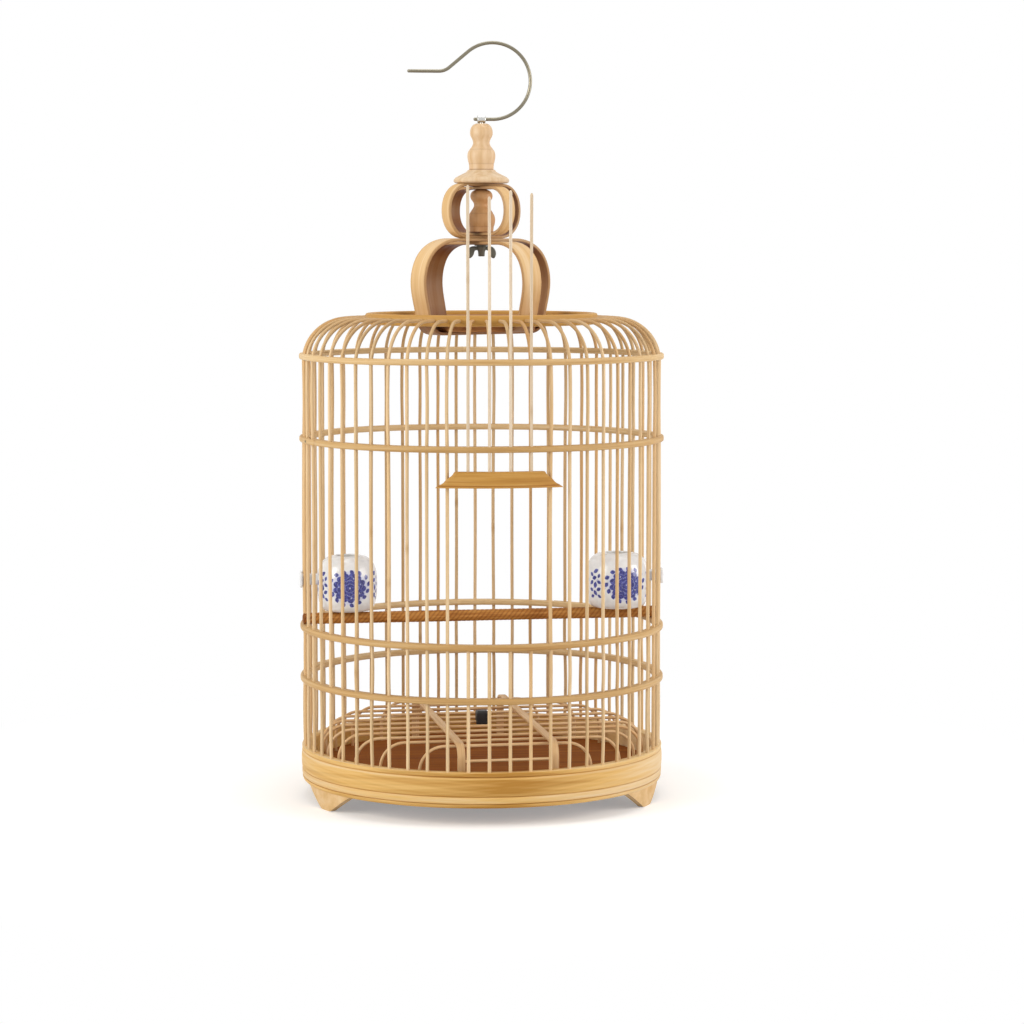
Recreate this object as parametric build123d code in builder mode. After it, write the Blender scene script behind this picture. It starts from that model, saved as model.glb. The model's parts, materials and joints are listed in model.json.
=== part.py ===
from build123d import *
import os
from math import asin, cos, degrees, radians, sin, sqrt

# A round hanging bamboo cage for a songbird: drilled hoops threaded on thin ribs, a moulded base
# ring on three bracket feet, a domed shoulder, two pairs of crossed loops and a wire hook on top.
# Millimetres. The origin is the centre of the floor under the feet, +Z is up, the door faces -Y.

# Room between pieces
fit_gap = 0.1
slide_gap = 0.25
rest_gap = 0.2
cut_overrun = 2.0

# Ribs of the wall and the dome, on the circle that the ring, the hoops and the crown follow
rib_count = 56
door_rib_count = 4
rib_diameter = 2.5
rib_circle_radius = 128.8
rib_seat_depth = 10.0
body_height = 335.0
dome_bend_radius = 31.0
dome_flat_length = 13.8

# Base ring, its three feet, the ledge inside it and the tray on the ledge
base_overhang = 2.7
base_wall = 7.5
base_height = 24.8
base_bead_height = 2.9
base_bead_inset = 0.8
base_strip_height = 5.1
base_strip_inset = 0.3
base_lip_height = 3.1
base_lip_inset = 0.4
base_groove_depth = 0.6
foot_height = 13.5
foot_top_width = 60.0
foot_toe_width = 13.0
foot_top_depth = 5.0
foot_toe_depth = 4.0
foot_lean = 0.4
foot_inset = 2.1
foot_corner_radius = 6.0
front_foot_angle = 63.0
foot_turn = -2.0
ledge_width = 8.0
ledge_height = 6.0
tray_thickness = 4.0

# Hoops threaded on the ribs, placed one from another
hoop_overhang = 3.4
hoop_inner_wall = 1.1
hoop_height = 4.3
hoop_rounding = 1.5
lower_hoop_rise = 49.1
perch_hoop_rise = 37.3
upper_hoop_drop = 59.4
shoulder_hoop_drop = 28.3
blind_hole_share = 0.72

# Nail that closes each hoop's joint, counted in rib steps from the door
nail_diameter = 1.0
nail_length = 2.6
nail_head_diameter = 1.7
nail_head_height = 0.4
nail_steps = {"lower_hoop": -19, "perch_hoop": 22, "upper_hoop": -12, "shoulder_hoop": 20}

# Sliding door: four long rods in a shaped rail, standing open
rod_diameter = 2.2
rod_hole_wall = 0.6
rod_seat_depth = 9.0
rod_heights = (203.8, 196.0, 200.2, 198.4)
rail_height = 11.3
rail_depth = 5.0
rail_end_reach = 8.74
rail_open_gap = 12.8
rail_side_shares = ((1.0, 0.0), (0.96, 0.13), (0.868, 0.33), (0.82, 0.55), (0.745, 0.75),
                    (0.7, 1.0))

# Perch across the cage, notched over one rib at each end
perch_diameter = 8.3
perch_end_reach = 1.0

# Porcelain cups, each held by a lug that passes between two ribs
cup_radius = 21.5
cup_height = 40.6
cup_wall = 2.0
cup_mouth_radius = 8.5
cup_wall_room = 9.3
cup_side_shares = ((0.56, 0.0), (0.82, 0.045), (0.955, 0.2), (1.0, 0.47), (0.965, 0.74),
                   (0.82, 0.93), (0.52, 1.0))
lug_width = 8.0
lug_height = 8.0
lug_rise_share = 0.58
lug_head_width = 18.0
lug_head_height = 11.5
lug_head_thickness = 2.6
lug_corner_radius = 1.0

# Floor grille: thin slats with turned-down ends under two flat crossbars
slat_count = 11
slat_diameter = 2.2
slat_bend_radius = 17.0
grille_edge_gap = 7.0
outer_slat_inset = 17.0
grille_rise = 29.0
grille_turn = 4.0
crossbar_spacing = 66.0
crossbar_width = 5.5
crossbar_thickness = 2.0
crossbar_bend_radius = 9.0
tie_drop = 10.0
knob_width = 8.8
knob_height = 10.8
knob_floor = 1.2
knob_corner_radius = 1.0

# Crown: the hoop that takes the dome's ribs, the board in it and the boss under the board
crown_wall = 5.0
crown_height = 8.0
crown_rounding = 1.4
crown_seat_depth = 3.0
crown_dish_depth = 3.0
crown_board_thickness = 4.0
crown_boss_inset = 20.5
crown_boss_thickness = 3.9

# Crossed loops; the large ones stand in from the crown hoop's outside by a share of its radius
loop_turn = -12.0
large_loop_width_share = 0.708
large_loop_height = 69.2
large_loop_width = 16.4
large_loop_thickness = 2.3
large_loop_side_shares = ((0.69, 0.0), (0.865, 0.065), (0.93, 0.22), (1.0, 0.545), (0.865, 0.86),
                          (0.655, 0.972), (0.45, 1.0))
small_loop_half_width = 33.0
small_loop_height = 39.6
small_loop_width = 9.5
small_loop_thickness = 2.2
small_loop_side_shares = ((0.46, 0.0), (0.755, 0.075), (0.94, 0.26), (1.0, 0.52), (0.9, 0.81),
                          (0.68, 0.965), (0.42, 1.0))

# Turned pieces on the bolt: the post inside the small loops, the cap and the finial
post_radius = 9.9
cap_radius = 20.0
cap_height = 10.9
cap_side_shares = ((0.93, 0.0), (1.0, 0.16), (0.985, 0.36), (0.86, 0.56), (0.66, 0.78), (0.54, 1.0))
finial_radius = 10.1
finial_height = 32.0
turned_side_shares = ((0.9, 0.0), (0.91, 0.11), (1.0, 0.26), (0.8, 0.43), (0.52, 0.6), (0.68, 0.72),
                      (0.83, 0.85), (0.62, 0.965), (0.36, 1.0))

# Eye bolt through the stack, its washer and wing nut, and the wire hook in its eye
bolt_diameter = 3.0
bolt_tail = 1.5
eye_width = 6.0
eye_wall = 1.5
washer_diameter = 10.0
washer_thickness = 0.8
nut_radius = 4.0
nut_height = 5.0
wing_span = 20.5
wing_thickness = 1.8
wing_drop = 1.4
wing_rise_share = 0.75
wire_diameter = 2.5
hook_bow_radius = 27.4
hook_bow_angle = 220.0
hook_inner_lead = 8.1
hook_outer_lead = 5.7
hook_slant_length = 17.6
hook_bend_radius = 12.0
hook_tail_length = 22.7

# Places worked out from the sizes above
rib_radius = rib_diameter / 2
rod_radius = rod_diameter / 2
slat_radius = slat_diameter / 2
wire_radius = wire_diameter / 2
bolt_radius = bolt_diameter / 2
rib_step = 360 / rib_count
wall_rib_count = rib_count - door_rib_count
door_azimuth = -90

base_bottom = foot_height
base_top = base_bottom + base_height
base_radius = rib_circle_radius + base_overhang
base_inner_radius = base_radius - base_wall
ledge_top = base_bottom + ledge_height
tray_radius = base_inner_radius - 3 * slide_gap
tray_top = ledge_top + tray_thickness

rib_bottom = base_top - rib_seat_depth
dome_top = base_bottom + body_height
dome_rib_height = dome_top - rib_radius
crown_radius = rib_circle_radius - dome_bend_radius - dome_flat_length
rib_inner_end = crown_radius - crown_seat_depth

lower_hoop_height = base_top + lower_hoop_rise
perch_hoop_height = lower_hoop_height + perch_hoop_rise
shoulder_hoop_height = dome_top - shoulder_hoop_drop
upper_hoop_height = shoulder_hoop_height - upper_hoop_drop
hoop_heights = {
    "lower_hoop": lower_hoop_height,
    "perch_hoop": perch_hoop_height,
    "upper_hoop": upper_hoop_height,
    "shoulder_hoop": shoulder_hoop_height,
}
blind_hole_depth = blind_hole_share * hoop_height
sill_rib_top = perch_hoop_height - hoop_height / 2 + blind_hole_depth

hoop_radius = rib_circle_radius + hoop_overhang
rod_hole_radius = rod_radius + slide_gap
rod_circle_radius = hoop_radius - rod_hole_wall - rod_hole_radius
head_rib_circle_radius = rod_circle_radius - rod_hole_radius - rod_hole_wall / 2 - rib_radius - fit_gap
hoop_inner_radius = head_rib_circle_radius - rib_radius - fit_gap - hoop_inner_wall
head_rib_bottom = shoulder_hoop_height + hoop_height / 2 - blind_hole_depth
rail_top = upper_hoop_height - hoop_height / 2 - rail_open_gap
rail_bottom = rail_top - rail_height
rail_half_width = rib_circle_radius * sin(radians((door_rib_count + 1) / 2 * rib_step)) + rail_end_reach

perch_height = perch_hoop_height + hoop_height / 2 + perch_diameter / 2
perch_azimuth = rib_step / 2
perch_end_radius = rib_circle_radius + rib_radius + perch_end_reach

cup_bottom = perch_height + perch_diameter / 2 + rest_gap
cup_distance = rib_circle_radius - cup_wall_room - cup_radius
lug_height_centre = cup_bottom + lug_rise_share * cup_height
lug_head_inner = rib_circle_radius + rib_radius + slide_gap

grille_radius = base_inner_radius - grille_edge_gap
slat_pitch = 2 * (grille_radius - outer_slat_inset) / (slat_count - 1)
slat_height = tray_top + grille_rise
crossbar_bottom = slat_height + slat_radius + fit_gap
crossbar_top = crossbar_bottom + crossbar_thickness
crossbar_reach = sqrt(grille_radius**2 - (crossbar_spacing / 2) ** 2)
knob_bottom = slat_height - slat_radius - fit_gap - knob_floor

crown_bottom = dome_rib_height - crown_height / 2
crown_top = crown_bottom + crown_height
board_top = crown_top - crown_dish_depth
board_bottom = board_top - crown_board_thickness
board_radius = crown_radius - crown_wall - fit_gap
boss_bottom = board_bottom - crown_boss_thickness
large_loop_half_width = large_loop_width_share * crown_radius
crown_boss_radius = large_loop_half_width - crown_boss_inset
loop_azimuths = (45 + loop_turn, 135 + loop_turn)
large_loop_bottom = boss_bottom - 2 * large_loop_thickness
large_loop_top = large_loop_bottom + large_loop_height
small_loop_top = large_loop_top + small_loop_height
post_bottom = large_loop_top + 2 * small_loop_thickness
post_top = small_loop_top - 2 * small_loop_thickness
cap_top = small_loop_top + cap_height
finial_top = cap_top + finial_height

eye_radius = wire_radius + fit_gap + eye_wall
eye_height = finial_top + eye_radius + rest_gap
washer_top = large_loop_top - 2 * large_loop_thickness
nut_top = washer_top - washer_thickness
nut_bottom = nut_top - nut_height

os.makedirs("parts", exist_ok=True)


def wall_places(radius=0):
    """The places of the ribs that run the full height, clear of the door."""
    start = door_azimuth + (door_rib_count + 1) / 2 * rib_step
    return PolarLocations(radius, wall_rib_count, start, (wall_rib_count - 1) * rib_step, endpoint=True)


def door_places(radius=0):
    """The places of the door's rods and of the short ribs above and below the door."""
    start = door_azimuth - (door_rib_count - 1) / 2 * rib_step
    return PolarLocations(radius, door_rib_count, start, (door_rib_count - 1) * rib_step, endpoint=True)


def radial_plane(azimuth):
    """The upright plane through the cage's axis, its own x running outwards."""
    across = radians(azimuth)
    return Plane(origin=(0, 0, 0), x_dir=(cos(across), sin(across), 0), z_dir=(sin(across), -cos(across), 0))


def facing_plane(azimuth):
    """The upright plane through the cage's axis that faces the way the azimuth points."""
    across = radians(azimuth)
    return Plane(origin=(0, 0, 0), x_dir=(-sin(across), cos(across), 0), z_dir=(cos(across), sin(across), 0))


def bent_rib(circle_radius, bottom, bend_radius, radius):
    """One rib on the +X side, up the wall, round the shoulder and in to the crown hoop."""
    bend_start = dome_rib_height - bend_radius
    bend_end = circle_radius - bend_radius
    bend_middle = bend_radius * sin(radians(45))
    with BuildPart() as rib:
        with BuildLine(Plane.XZ):
            Line((circle_radius, bottom), (circle_radius, bend_start))
            ThreePointArc(
                (circle_radius, bend_start),
                (bend_end + bend_middle, bend_start + bend_middle),
                (bend_end, dome_rib_height),
            )
            Line((bend_end, dome_rib_height), (rib_inner_end, dome_rib_height))
        with BuildSketch(Plane.XY.offset(bottom)):
            with Locations((circle_radius, 0)):
                Circle(radius)
        sweep()
    return rib.part


def gourd_outline(half_width, bottom, top, side_shares):
    """The closed outline of a loop: flat at the top and the foot, with curved sides."""
    right = [(half_width * across, bottom + (top - bottom) * up) for across, up in side_shares]
    left = [(-across, up) for across, up in reversed(right)]
    Line(left[-1], right[0])
    Spline(*right, tangents=((1, 0), (-1, 0)))
    Line(right[-1], left[0])
    Spline(*left, tangents=((-1, 0), (1, 0)))


def gourd_loop(azimuth, half_width, bottom, top, width, thickness, side_shares, room=0):
    """One bent band of a pair of crossed loops, or with some room the cut that lets it through."""
    inset = thickness + room
    with BuildPart() as band:
        with BuildSketch(radial_plane(azimuth)):
            with BuildLine():
                gourd_outline(half_width + room, bottom - room, top + room, side_shares)
            make_face()
            with BuildLine():
                gourd_outline(half_width - inset, bottom + inset, top - inset, side_shares)
            make_face(mode=Mode.SUBTRACT)
        extrude(amount=width / 2 + room, both=True)
    return band.part


wall_rib_course = (rib_circle_radius, rib_bottom, dome_bend_radius)
wall_rib = bent_rib(*wall_rib_course, rib_radius)
wall_rib_cut = bent_rib(*wall_rib_course, rib_radius + fit_gap)
head_rib_course = (head_rib_circle_radius, head_rib_bottom, dome_rib_height - shoulder_hoop_height)
head_rib = bent_rib(*head_rib_course, rib_radius)
head_rib_cut = bent_rib(*head_rib_course, rib_radius + fit_gap)

# Base ring: a bead, a strip, a broad band and a lip with fine grooves between, drilled for the ribs
with BuildPart() as base_ring:
    with BuildSketch(Plane.XZ):
        with BuildLine():
            bead_radius = base_radius - base_bead_inset
            strip_radius = base_radius - base_strip_inset
            lip_radius = base_radius - base_lip_inset
            bead_top = base_bottom + base_bead_height
            strip_top = bead_top + base_strip_height
            lip_bottom = base_top - base_lip_height
            low_corner = (bead_radius - 2 * base_groove_depth, base_bottom)
            low_groove = (bead_radius - base_groove_depth, bead_top)
            middle_groove = (strip_radius - base_groove_depth, strip_top)
            high_groove = (lip_radius - base_groove_depth, lip_bottom)
            high_corner = (lip_radius - base_groove_depth / 2, base_top)
            Line((base_inner_radius, base_bottom), low_corner)
            ThreePointArc(low_corner, (bead_radius, (base_bottom + bead_top) / 2), low_groove)
            ThreePointArc(low_groove, (strip_radius, (bead_top + strip_top) / 2), middle_groove)
            ThreePointArc(middle_groove, (base_radius, (strip_top + lip_bottom) / 2), high_groove)
            ThreePointArc(high_groove, (lip_radius, (lip_bottom + base_top) / 2), high_corner)
            Polyline(
                high_corner,
                (base_inner_radius, base_top),
                (base_inner_radius, base_bottom),
            )
        make_face()
    revolve(axis=Axis.Z)
    with BuildSketch(Plane.XY.offset(rib_bottom)):
        with wall_places(rib_circle_radius):
            Circle(rib_radius + fit_gap)
        with door_places(rib_circle_radius):
            Circle(rib_radius + fit_gap)
    extrude(amount=rib_seat_depth, mode=Mode.SUBTRACT)
base_ring.part.label = "base_ring"
export_step(base_ring.part, "parts/base_ring.step")

# Three bracket feet under the ring, each narrowing to a toe
foot_azimuths = {
    "front_left_foot": door_azimuth + foot_turn - front_foot_angle,
    "front_right_foot": door_azimuth + foot_turn + front_foot_angle,
    "back_foot": foot_turn - door_azimuth,
}
foot_top_radius = base_radius - foot_inset
foot_toe_radius = foot_top_radius - foot_lean
foot_span = 2.5 * degrees(asin(foot_top_width / 2 / foot_top_radius))
for foot_name, azimuth in foot_azimuths.items():
    with BuildPart() as foot:
        with BuildSketch(radial_plane(azimuth - foot_span / 2)):
            with BuildLine():
                Polyline(
                    (foot_top_radius - foot_top_depth, foot_height),
                    (foot_top_radius, foot_height),
                    (foot_toe_radius, 0),
                    (foot_toe_radius - foot_toe_depth, 0),
                    close=True,
                )
            make_face()
        revolve(axis=Axis.Z, revolution_arc=foot_span)
        with BuildSketch(facing_plane(azimuth)) as bracket:
            with BuildLine():
                Polyline(
                    (-foot_top_width / 2, foot_height),
                    (foot_top_width / 2, foot_height),
                    (foot_toe_width / 2, 0),
                    (-foot_toe_width / 2, 0),
                    close=True,
                )
            make_face()
            fillet(bracket.vertices().group_by(Axis.Y)[0], radius=foot_corner_radius)
        extrude(amount=base_radius, mode=Mode.INTERSECT)
    foot.part.label = foot_name
    export_step(foot.part, f"parts/{foot_name}.step")

# Ledge glued inside the ring, and the loose tray that lies on it
with BuildPart() as tray_ledge:
    with BuildSketch(Plane.XY.offset(base_bottom)):
        Circle(base_inner_radius - fit_gap)
        Circle(base_inner_radius - ledge_width, mode=Mode.SUBTRACT)
    extrude(amount=ledge_height)
tray_ledge.part.label = "tray_ledge"
export_step(tray_ledge.part, "parts/tray_ledge.step")

with BuildPart() as tray:
    with BuildSketch(Plane.XY.offset(ledge_top)):
        Circle(tray_radius)
    extrude(amount=tray_thickness)
tray.part.label = "tray"
export_step(tray.part, "parts/tray.step")

# Ribs of the wall, the short ones under the door and the short ones over it
with BuildPart() as wall_ribs:
    with wall_places():
        add(wall_rib)
wall_ribs.part.label = "wall_ribs"
export_step(wall_ribs.part, "parts/wall_ribs.step")

with BuildPart() as sill_ribs:
    with BuildSketch(Plane.XY.offset(rib_bottom)):
        with door_places(rib_circle_radius):
            Circle(rib_radius)
    extrude(amount=sill_rib_top - rib_bottom)
sill_ribs.part.label = "sill_ribs"
export_step(sill_ribs.part, "parts/sill_ribs.step")

with BuildPart() as head_ribs:
    with door_places():
        add(head_rib)
head_ribs.part.label = "head_ribs"
export_step(head_ribs.part, "parts/head_ribs.step")

# Four hoops, drilled for what each one is threaded on, and the nail in each one's joint
for hoop_name, height in hoop_heights.items():
    nail_azimuth = door_azimuth + nail_steps[hoop_name] * rib_step
    with BuildPart() as hoop:
        with BuildSketch(Plane.XY.offset(height - hoop_height / 2)):
            Circle(hoop_radius)
            Circle(hoop_inner_radius, mode=Mode.SUBTRACT)
        extrude(amount=hoop_height)
        fillet(hoop.edges().filter_by(GeomType.CIRCLE), radius=hoop_rounding)
        with wall_places():
            add(wall_rib_cut, mode=Mode.SUBTRACT)
        if height < rail_bottom:
            with BuildSketch(Plane.XY.offset(rib_bottom)):
                with door_places(rib_circle_radius):
                    Circle(rib_radius + fit_gap)
            extrude(amount=sill_rib_top - rib_bottom, mode=Mode.SUBTRACT)
        else:
            with BuildSketch(Plane.XY.offset(height - hoop_height)):
                with door_places(rod_circle_radius):
                    Circle(rod_hole_radius)
            extrude(amount=2 * hoop_height, mode=Mode.SUBTRACT)
        if height > head_rib_bottom - hoop_height:
            with door_places():
                add(head_rib_cut, mode=Mode.SUBTRACT)
        with BuildSketch(facing_plane(nail_azimuth).offset(hoop_radius - nail_length)):
            with Locations((0, height)):
                Circle(nail_diameter / 2 + fit_gap)
        extrude(amount=nail_length + cut_overrun, mode=Mode.SUBTRACT)
    hoop.part.label = hoop_name
    export_step(hoop.part, f"parts/{hoop_name}.step")

with BuildPart() as hoop_nails:
    for hoop_name, height in hoop_heights.items():
        nail_azimuth = door_azimuth + nail_steps[hoop_name] * rib_step
        with BuildSketch(facing_plane(nail_azimuth).offset(hoop_radius - nail_length)):
            with Locations((0, height)):
                Circle(nail_diameter / 2)
        extrude(amount=nail_length)
        with BuildSketch(facing_plane(nail_azimuth).offset(hoop_radius)):
            with Locations((0, height)):
                Circle(nail_head_diameter / 2)
        extrude(amount=nail_head_height)
hoop_nails.part.label = "hoop_nails"
export_step(hoop_nails.part, "parts/hoop_nails.step")

# Door rail, cut from a curved strip, with seats for the rods and holes that ride on two ribs
with BuildPart() as door_rail:
    with BuildSketch(Plane.XY.offset(rail_bottom)):
        Circle(rod_circle_radius + rail_depth / 2)
        Circle(rod_circle_radius - rail_depth / 2, mode=Mode.SUBTRACT)
    extrude(amount=rail_height)
    with BuildSketch(Plane.XZ):
        with BuildLine():
            right = []
            for across, up in rail_side_shares:
                right.append((rail_half_width * across, rail_bottom + rail_height * up))
            left = [(-across, up) for across, up in reversed(right)]
            Line(left[-1], right[0])
            Spline(*right)
            Line(right[-1], left[0])
            Spline(*left)
        make_face()
    extrude(amount=base_radius + rail_depth, mode=Mode.INTERSECT)
    with BuildSketch(Plane.XY.offset(rail_top - rod_seat_depth)):
        with door_places(rod_circle_radius):
            Circle(rod_radius + fit_gap)
    extrude(amount=rod_seat_depth, mode=Mode.SUBTRACT)
    with BuildSketch(Plane.XY.offset(rail_bottom)):
        with wall_places(rib_circle_radius):
            Circle(rib_radius + slide_gap)
    extrude(amount=rail_height, mode=Mode.SUBTRACT)
door_rail.part.label = "door_rail"
export_step(door_rail.part, "parts/door_rail.step")

# Door rods, of four hand-cut lengths
rod_bottom = rail_top - rod_seat_depth
with BuildPart() as door_rods:
    for place, rod_height in zip(door_places(rod_circle_radius), rod_heights):
        with BuildSketch(Plane.XY.offset(rod_bottom)):
            with Locations(place):
                Circle(rod_radius)
        extrude(amount=rod_height)
door_rods.part.label = "door_rods"
export_step(door_rods.part, "parts/door_rods.step")

# Perch on the perch hoop, its ends notched over two opposite ribs
with BuildPart() as perch:
    with BuildSketch(facing_plane(perch_azimuth)):
        with Locations((0, perch_height)):
            Circle(perch_diameter / 2)
    extrude(amount=perch_end_radius, both=True)
    notch_width = rib_diameter + 2 * slide_gap
    notch_inner = rib_circle_radius - rib_radius - slide_gap
    for azimuth in (perch_azimuth, perch_azimuth + 180):
        with BuildSketch(facing_plane(azimuth).offset(notch_inner)):
            with Locations((0, perch_height)):
                Rectangle(notch_width, perch_diameter + 2 * cut_overrun)
        extrude(amount=perch_end_radius, mode=Mode.SUBTRACT)
perch.part.label = "perch"
export_step(perch.part, "parts/perch.step")

# Two cups, turned hollow, each with a lug between two ribs and a head outside them
for cup_name, side in (("left_cup", -1), ("right_cup", 1)):
    axis_x = side * cup_distance
    outward = facing_plane(0 if side > 0 else 180)
    inner_radius = cup_radius - cup_wall
    inner_height = cup_height - 2 * cup_wall
    outer = []
    inner = []
    for out, up in cup_side_shares:
        outer.append((axis_x + cup_radius * out, cup_bottom + cup_height * up))
        inner.append((axis_x + inner_radius * out, cup_bottom + cup_wall + inner_height * up))
    with BuildPart() as cup:
        with BuildSketch(outward.offset(cup_distance)):
            with Locations((0, lug_height_centre)):
                RectangleRounded(lug_width, lug_height, lug_corner_radius)
        extrude(amount=lug_head_inner - cup_distance + lug_head_thickness / 2)
        with BuildSketch(outward.offset(lug_head_inner)):
            with Locations((0, lug_height_centre)):
                RectangleRounded(lug_head_width, lug_head_height, lug_corner_radius)
        extrude(amount=lug_head_thickness)
        with BuildSketch(Plane.XZ):
            with BuildLine():
                Line((axis_x, cup_bottom), outer[0])
                Spline(*outer)
                Polyline(outer[-1], (axis_x, cup_bottom + cup_height), (axis_x, cup_bottom))
            make_face()
        revolve(axis=Axis((axis_x, 0, 0), (0, 0, 1)))
        with BuildSketch(Plane.XZ):
            with BuildLine():
                Line((axis_x, cup_bottom + cup_wall), inner[0])
                Spline(*inner)
                Polyline(
                    inner[-1],
                    (axis_x + cup_mouth_radius, cup_bottom + cup_height - cup_wall),
                    (axis_x + cup_mouth_radius, cup_bottom + cup_height),
                    (axis_x, cup_bottom + cup_height),
                    (axis_x, cup_bottom + cup_wall),
                )
            make_face()
        revolve(axis=Axis((axis_x, 0, 0), (0, 0, 1)), mode=Mode.SUBTRACT)
    cup.part.label = cup_name
    export_step(cup.part, f"parts/{cup_name}.step")

# Floor grille: slats with turned-down ends, crossbars over them, ties between the crossbars
for row in range(slat_count):
    offset_from_middle = (row - (slat_count - 1) / 2) * slat_pitch
    reach = sqrt(grille_radius**2 - offset_from_middle**2)
    row_plane = radial_plane(grille_turn).offset(offset_from_middle)
    with BuildPart() as grille_slat:
        with BuildLine(row_plane):
            FilletPolyline(
                (-reach, tray_top),
                (-reach, slat_height),
                (reach, slat_height),
                (reach, tray_top),
                radius=slat_bend_radius,
            )
        with BuildSketch(Plane(row_plane.from_local_coords((-reach, tray_top, 0)), z_dir=(0, 0, 1))):
            Circle(slat_radius)
        sweep()
    grille_slat.part.label = f"grille_slat_{row + 1}"
    export_step(grille_slat.part, f"parts/grille_slat_{row + 1}.step")

for bar_name, side in (("left_crossbar", -1), ("right_crossbar", 1)):
    bar_plane = facing_plane(grille_turn).offset(side * (crossbar_spacing - crossbar_width) / 2)
    with BuildPart() as crossbar:
        with BuildSketch(bar_plane) as bar_side:
            with BuildLine():
                outer_bend = crossbar_bend_radius + crossbar_thickness
                inner_reach = crossbar_reach - crossbar_thickness
                FilletPolyline(
                    (-crossbar_reach, tray_top),
                    (-crossbar_reach, crossbar_top),
                    (crossbar_reach, crossbar_top),
                    (crossbar_reach, tray_top),
                    radius=outer_bend,
                )
                FilletPolyline(
                    (-inner_reach, tray_top),
                    (-inner_reach, crossbar_bottom),
                    (inner_reach, crossbar_bottom),
                    (inner_reach, tray_top),
                    radius=crossbar_bend_radius,
                )
                Line((-crossbar_reach, tray_top), (-inner_reach, tray_top))
                Line((crossbar_reach, tray_top), (inner_reach, tray_top))
            make_face()
        extrude(amount=side * crossbar_width)
    crossbar.part.label = bar_name
    export_step(crossbar.part, f"parts/{bar_name}.step")

tie_length = crossbar_spacing - crossbar_width
tie_height = crossbar_bottom - tie_drop
tie_distance = crossbar_reach - crossbar_thickness / 2
with BuildPart() as grille_ties:
    for side in (-1, 1):
        with BuildSketch(facing_plane(grille_turn)):
            with Locations((side * tie_distance, tie_height)):
                Circle(slat_radius)
        extrude(amount=tie_length / 2, both=True)
grille_ties.part.label = "grille_ties"
export_step(grille_ties.part, "parts/grille_ties.step")

# Knob on the middle slat, for lifting the grille
knob_plane = Plane(origin=(0, 0, knob_bottom), x_dir=radial_plane(grille_turn).x_dir, z_dir=(0, 0, 1))
with BuildPart() as grille_knob:
    with BuildSketch(knob_plane):
        RectangleRounded(knob_width, knob_width, knob_corner_radius)
    extrude(amount=knob_height)
    with BuildSketch(facing_plane(grille_turn)):
        with Locations((0, slat_height)):
            Circle(slat_radius + fit_gap)
    extrude(amount=knob_width, both=True, mode=Mode.SUBTRACT)
grille_knob.part.label = "grille_knob"
export_step(grille_knob.part, "parts/grille_knob.step")

# Crown hoop, with seats for the ribs' upper ends
with BuildPart() as crown_hoop:
    with BuildSketch(Plane.XY.offset(crown_bottom)):
        Circle(crown_radius)
        Circle(crown_radius - crown_wall, mode=Mode.SUBTRACT)
    extrude(amount=crown_height)
    fillet(crown_hoop.edges().filter_by(GeomType.CIRCLE), radius=crown_rounding)
    with wall_places():
        add(wall_rib_cut, mode=Mode.SUBTRACT)
    with door_places():
        add(head_rib_cut, mode=Mode.SUBTRACT)
crown_hoop.part.label = "crown_hoop"
export_step(crown_hoop.part, "parts/crown_hoop.step")

# Crossed loops: in each pair the first band runs outside the second at the top and the foot
large_loop_shapes = []
for pair_index, azimuth in enumerate(loop_azimuths):
    step_in = pair_index * large_loop_thickness
    large_loop_shapes.append(
        (azimuth, large_loop_half_width, large_loop_bottom + step_in, large_loop_top - step_in,
         large_loop_width, large_loop_thickness, large_loop_side_shares)
    )
for loop_name, shape in zip(("large_loop_outer", "large_loop_inner"), large_loop_shapes):
    with BuildPart() as large_loop:
        add(gourd_loop(*shape))
        with BuildSketch(Plane.XY.offset(large_loop_top)):
            Circle(bolt_radius + fit_gap)
        extrude(amount=-large_loop_height / 2, mode=Mode.SUBTRACT)
    large_loop.part.label = loop_name
    export_step(large_loop.part, f"parts/{loop_name}.step")

for pair_index, loop_name in enumerate(("small_loop_outer", "small_loop_inner")):
    step_in = pair_index * small_loop_thickness
    with BuildPart() as small_loop:
        add(gourd_loop(loop_azimuths[pair_index], small_loop_half_width, large_loop_top + step_in,
                       small_loop_top - step_in, small_loop_width, small_loop_thickness,
                       small_loop_side_shares))
        with BuildSketch(Plane.XY.offset(large_loop_top)):
            Circle(bolt_radius + fit_gap)
        extrude(amount=small_loop_height, mode=Mode.SUBTRACT)
    small_loop.part.label = loop_name
    export_step(small_loop.part, f"parts/{loop_name}.step")

# Board in the crown hoop, slotted for the large loops, and the boss that they hold up under it
with BuildPart() as crown_board:
    with BuildSketch(Plane.XY.offset(board_bottom)):
        Circle(board_radius)
    extrude(amount=crown_board_thickness)
    for shape in large_loop_shapes:
        add(gourd_loop(*shape, room=fit_gap), mode=Mode.SUBTRACT)
crown_board.part.label = "crown_board"
export_step(crown_board.part, "parts/crown_board.step")

with BuildPart() as crown_boss:
    with BuildSketch(Plane.XY.offset(boss_bottom)):
        Circle(crown_boss_radius)
    extrude(amount=crown_boss_thickness)
crown_boss.part.label = "crown_boss"
export_step(crown_boss.part, "parts/crown_boss.step")

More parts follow.
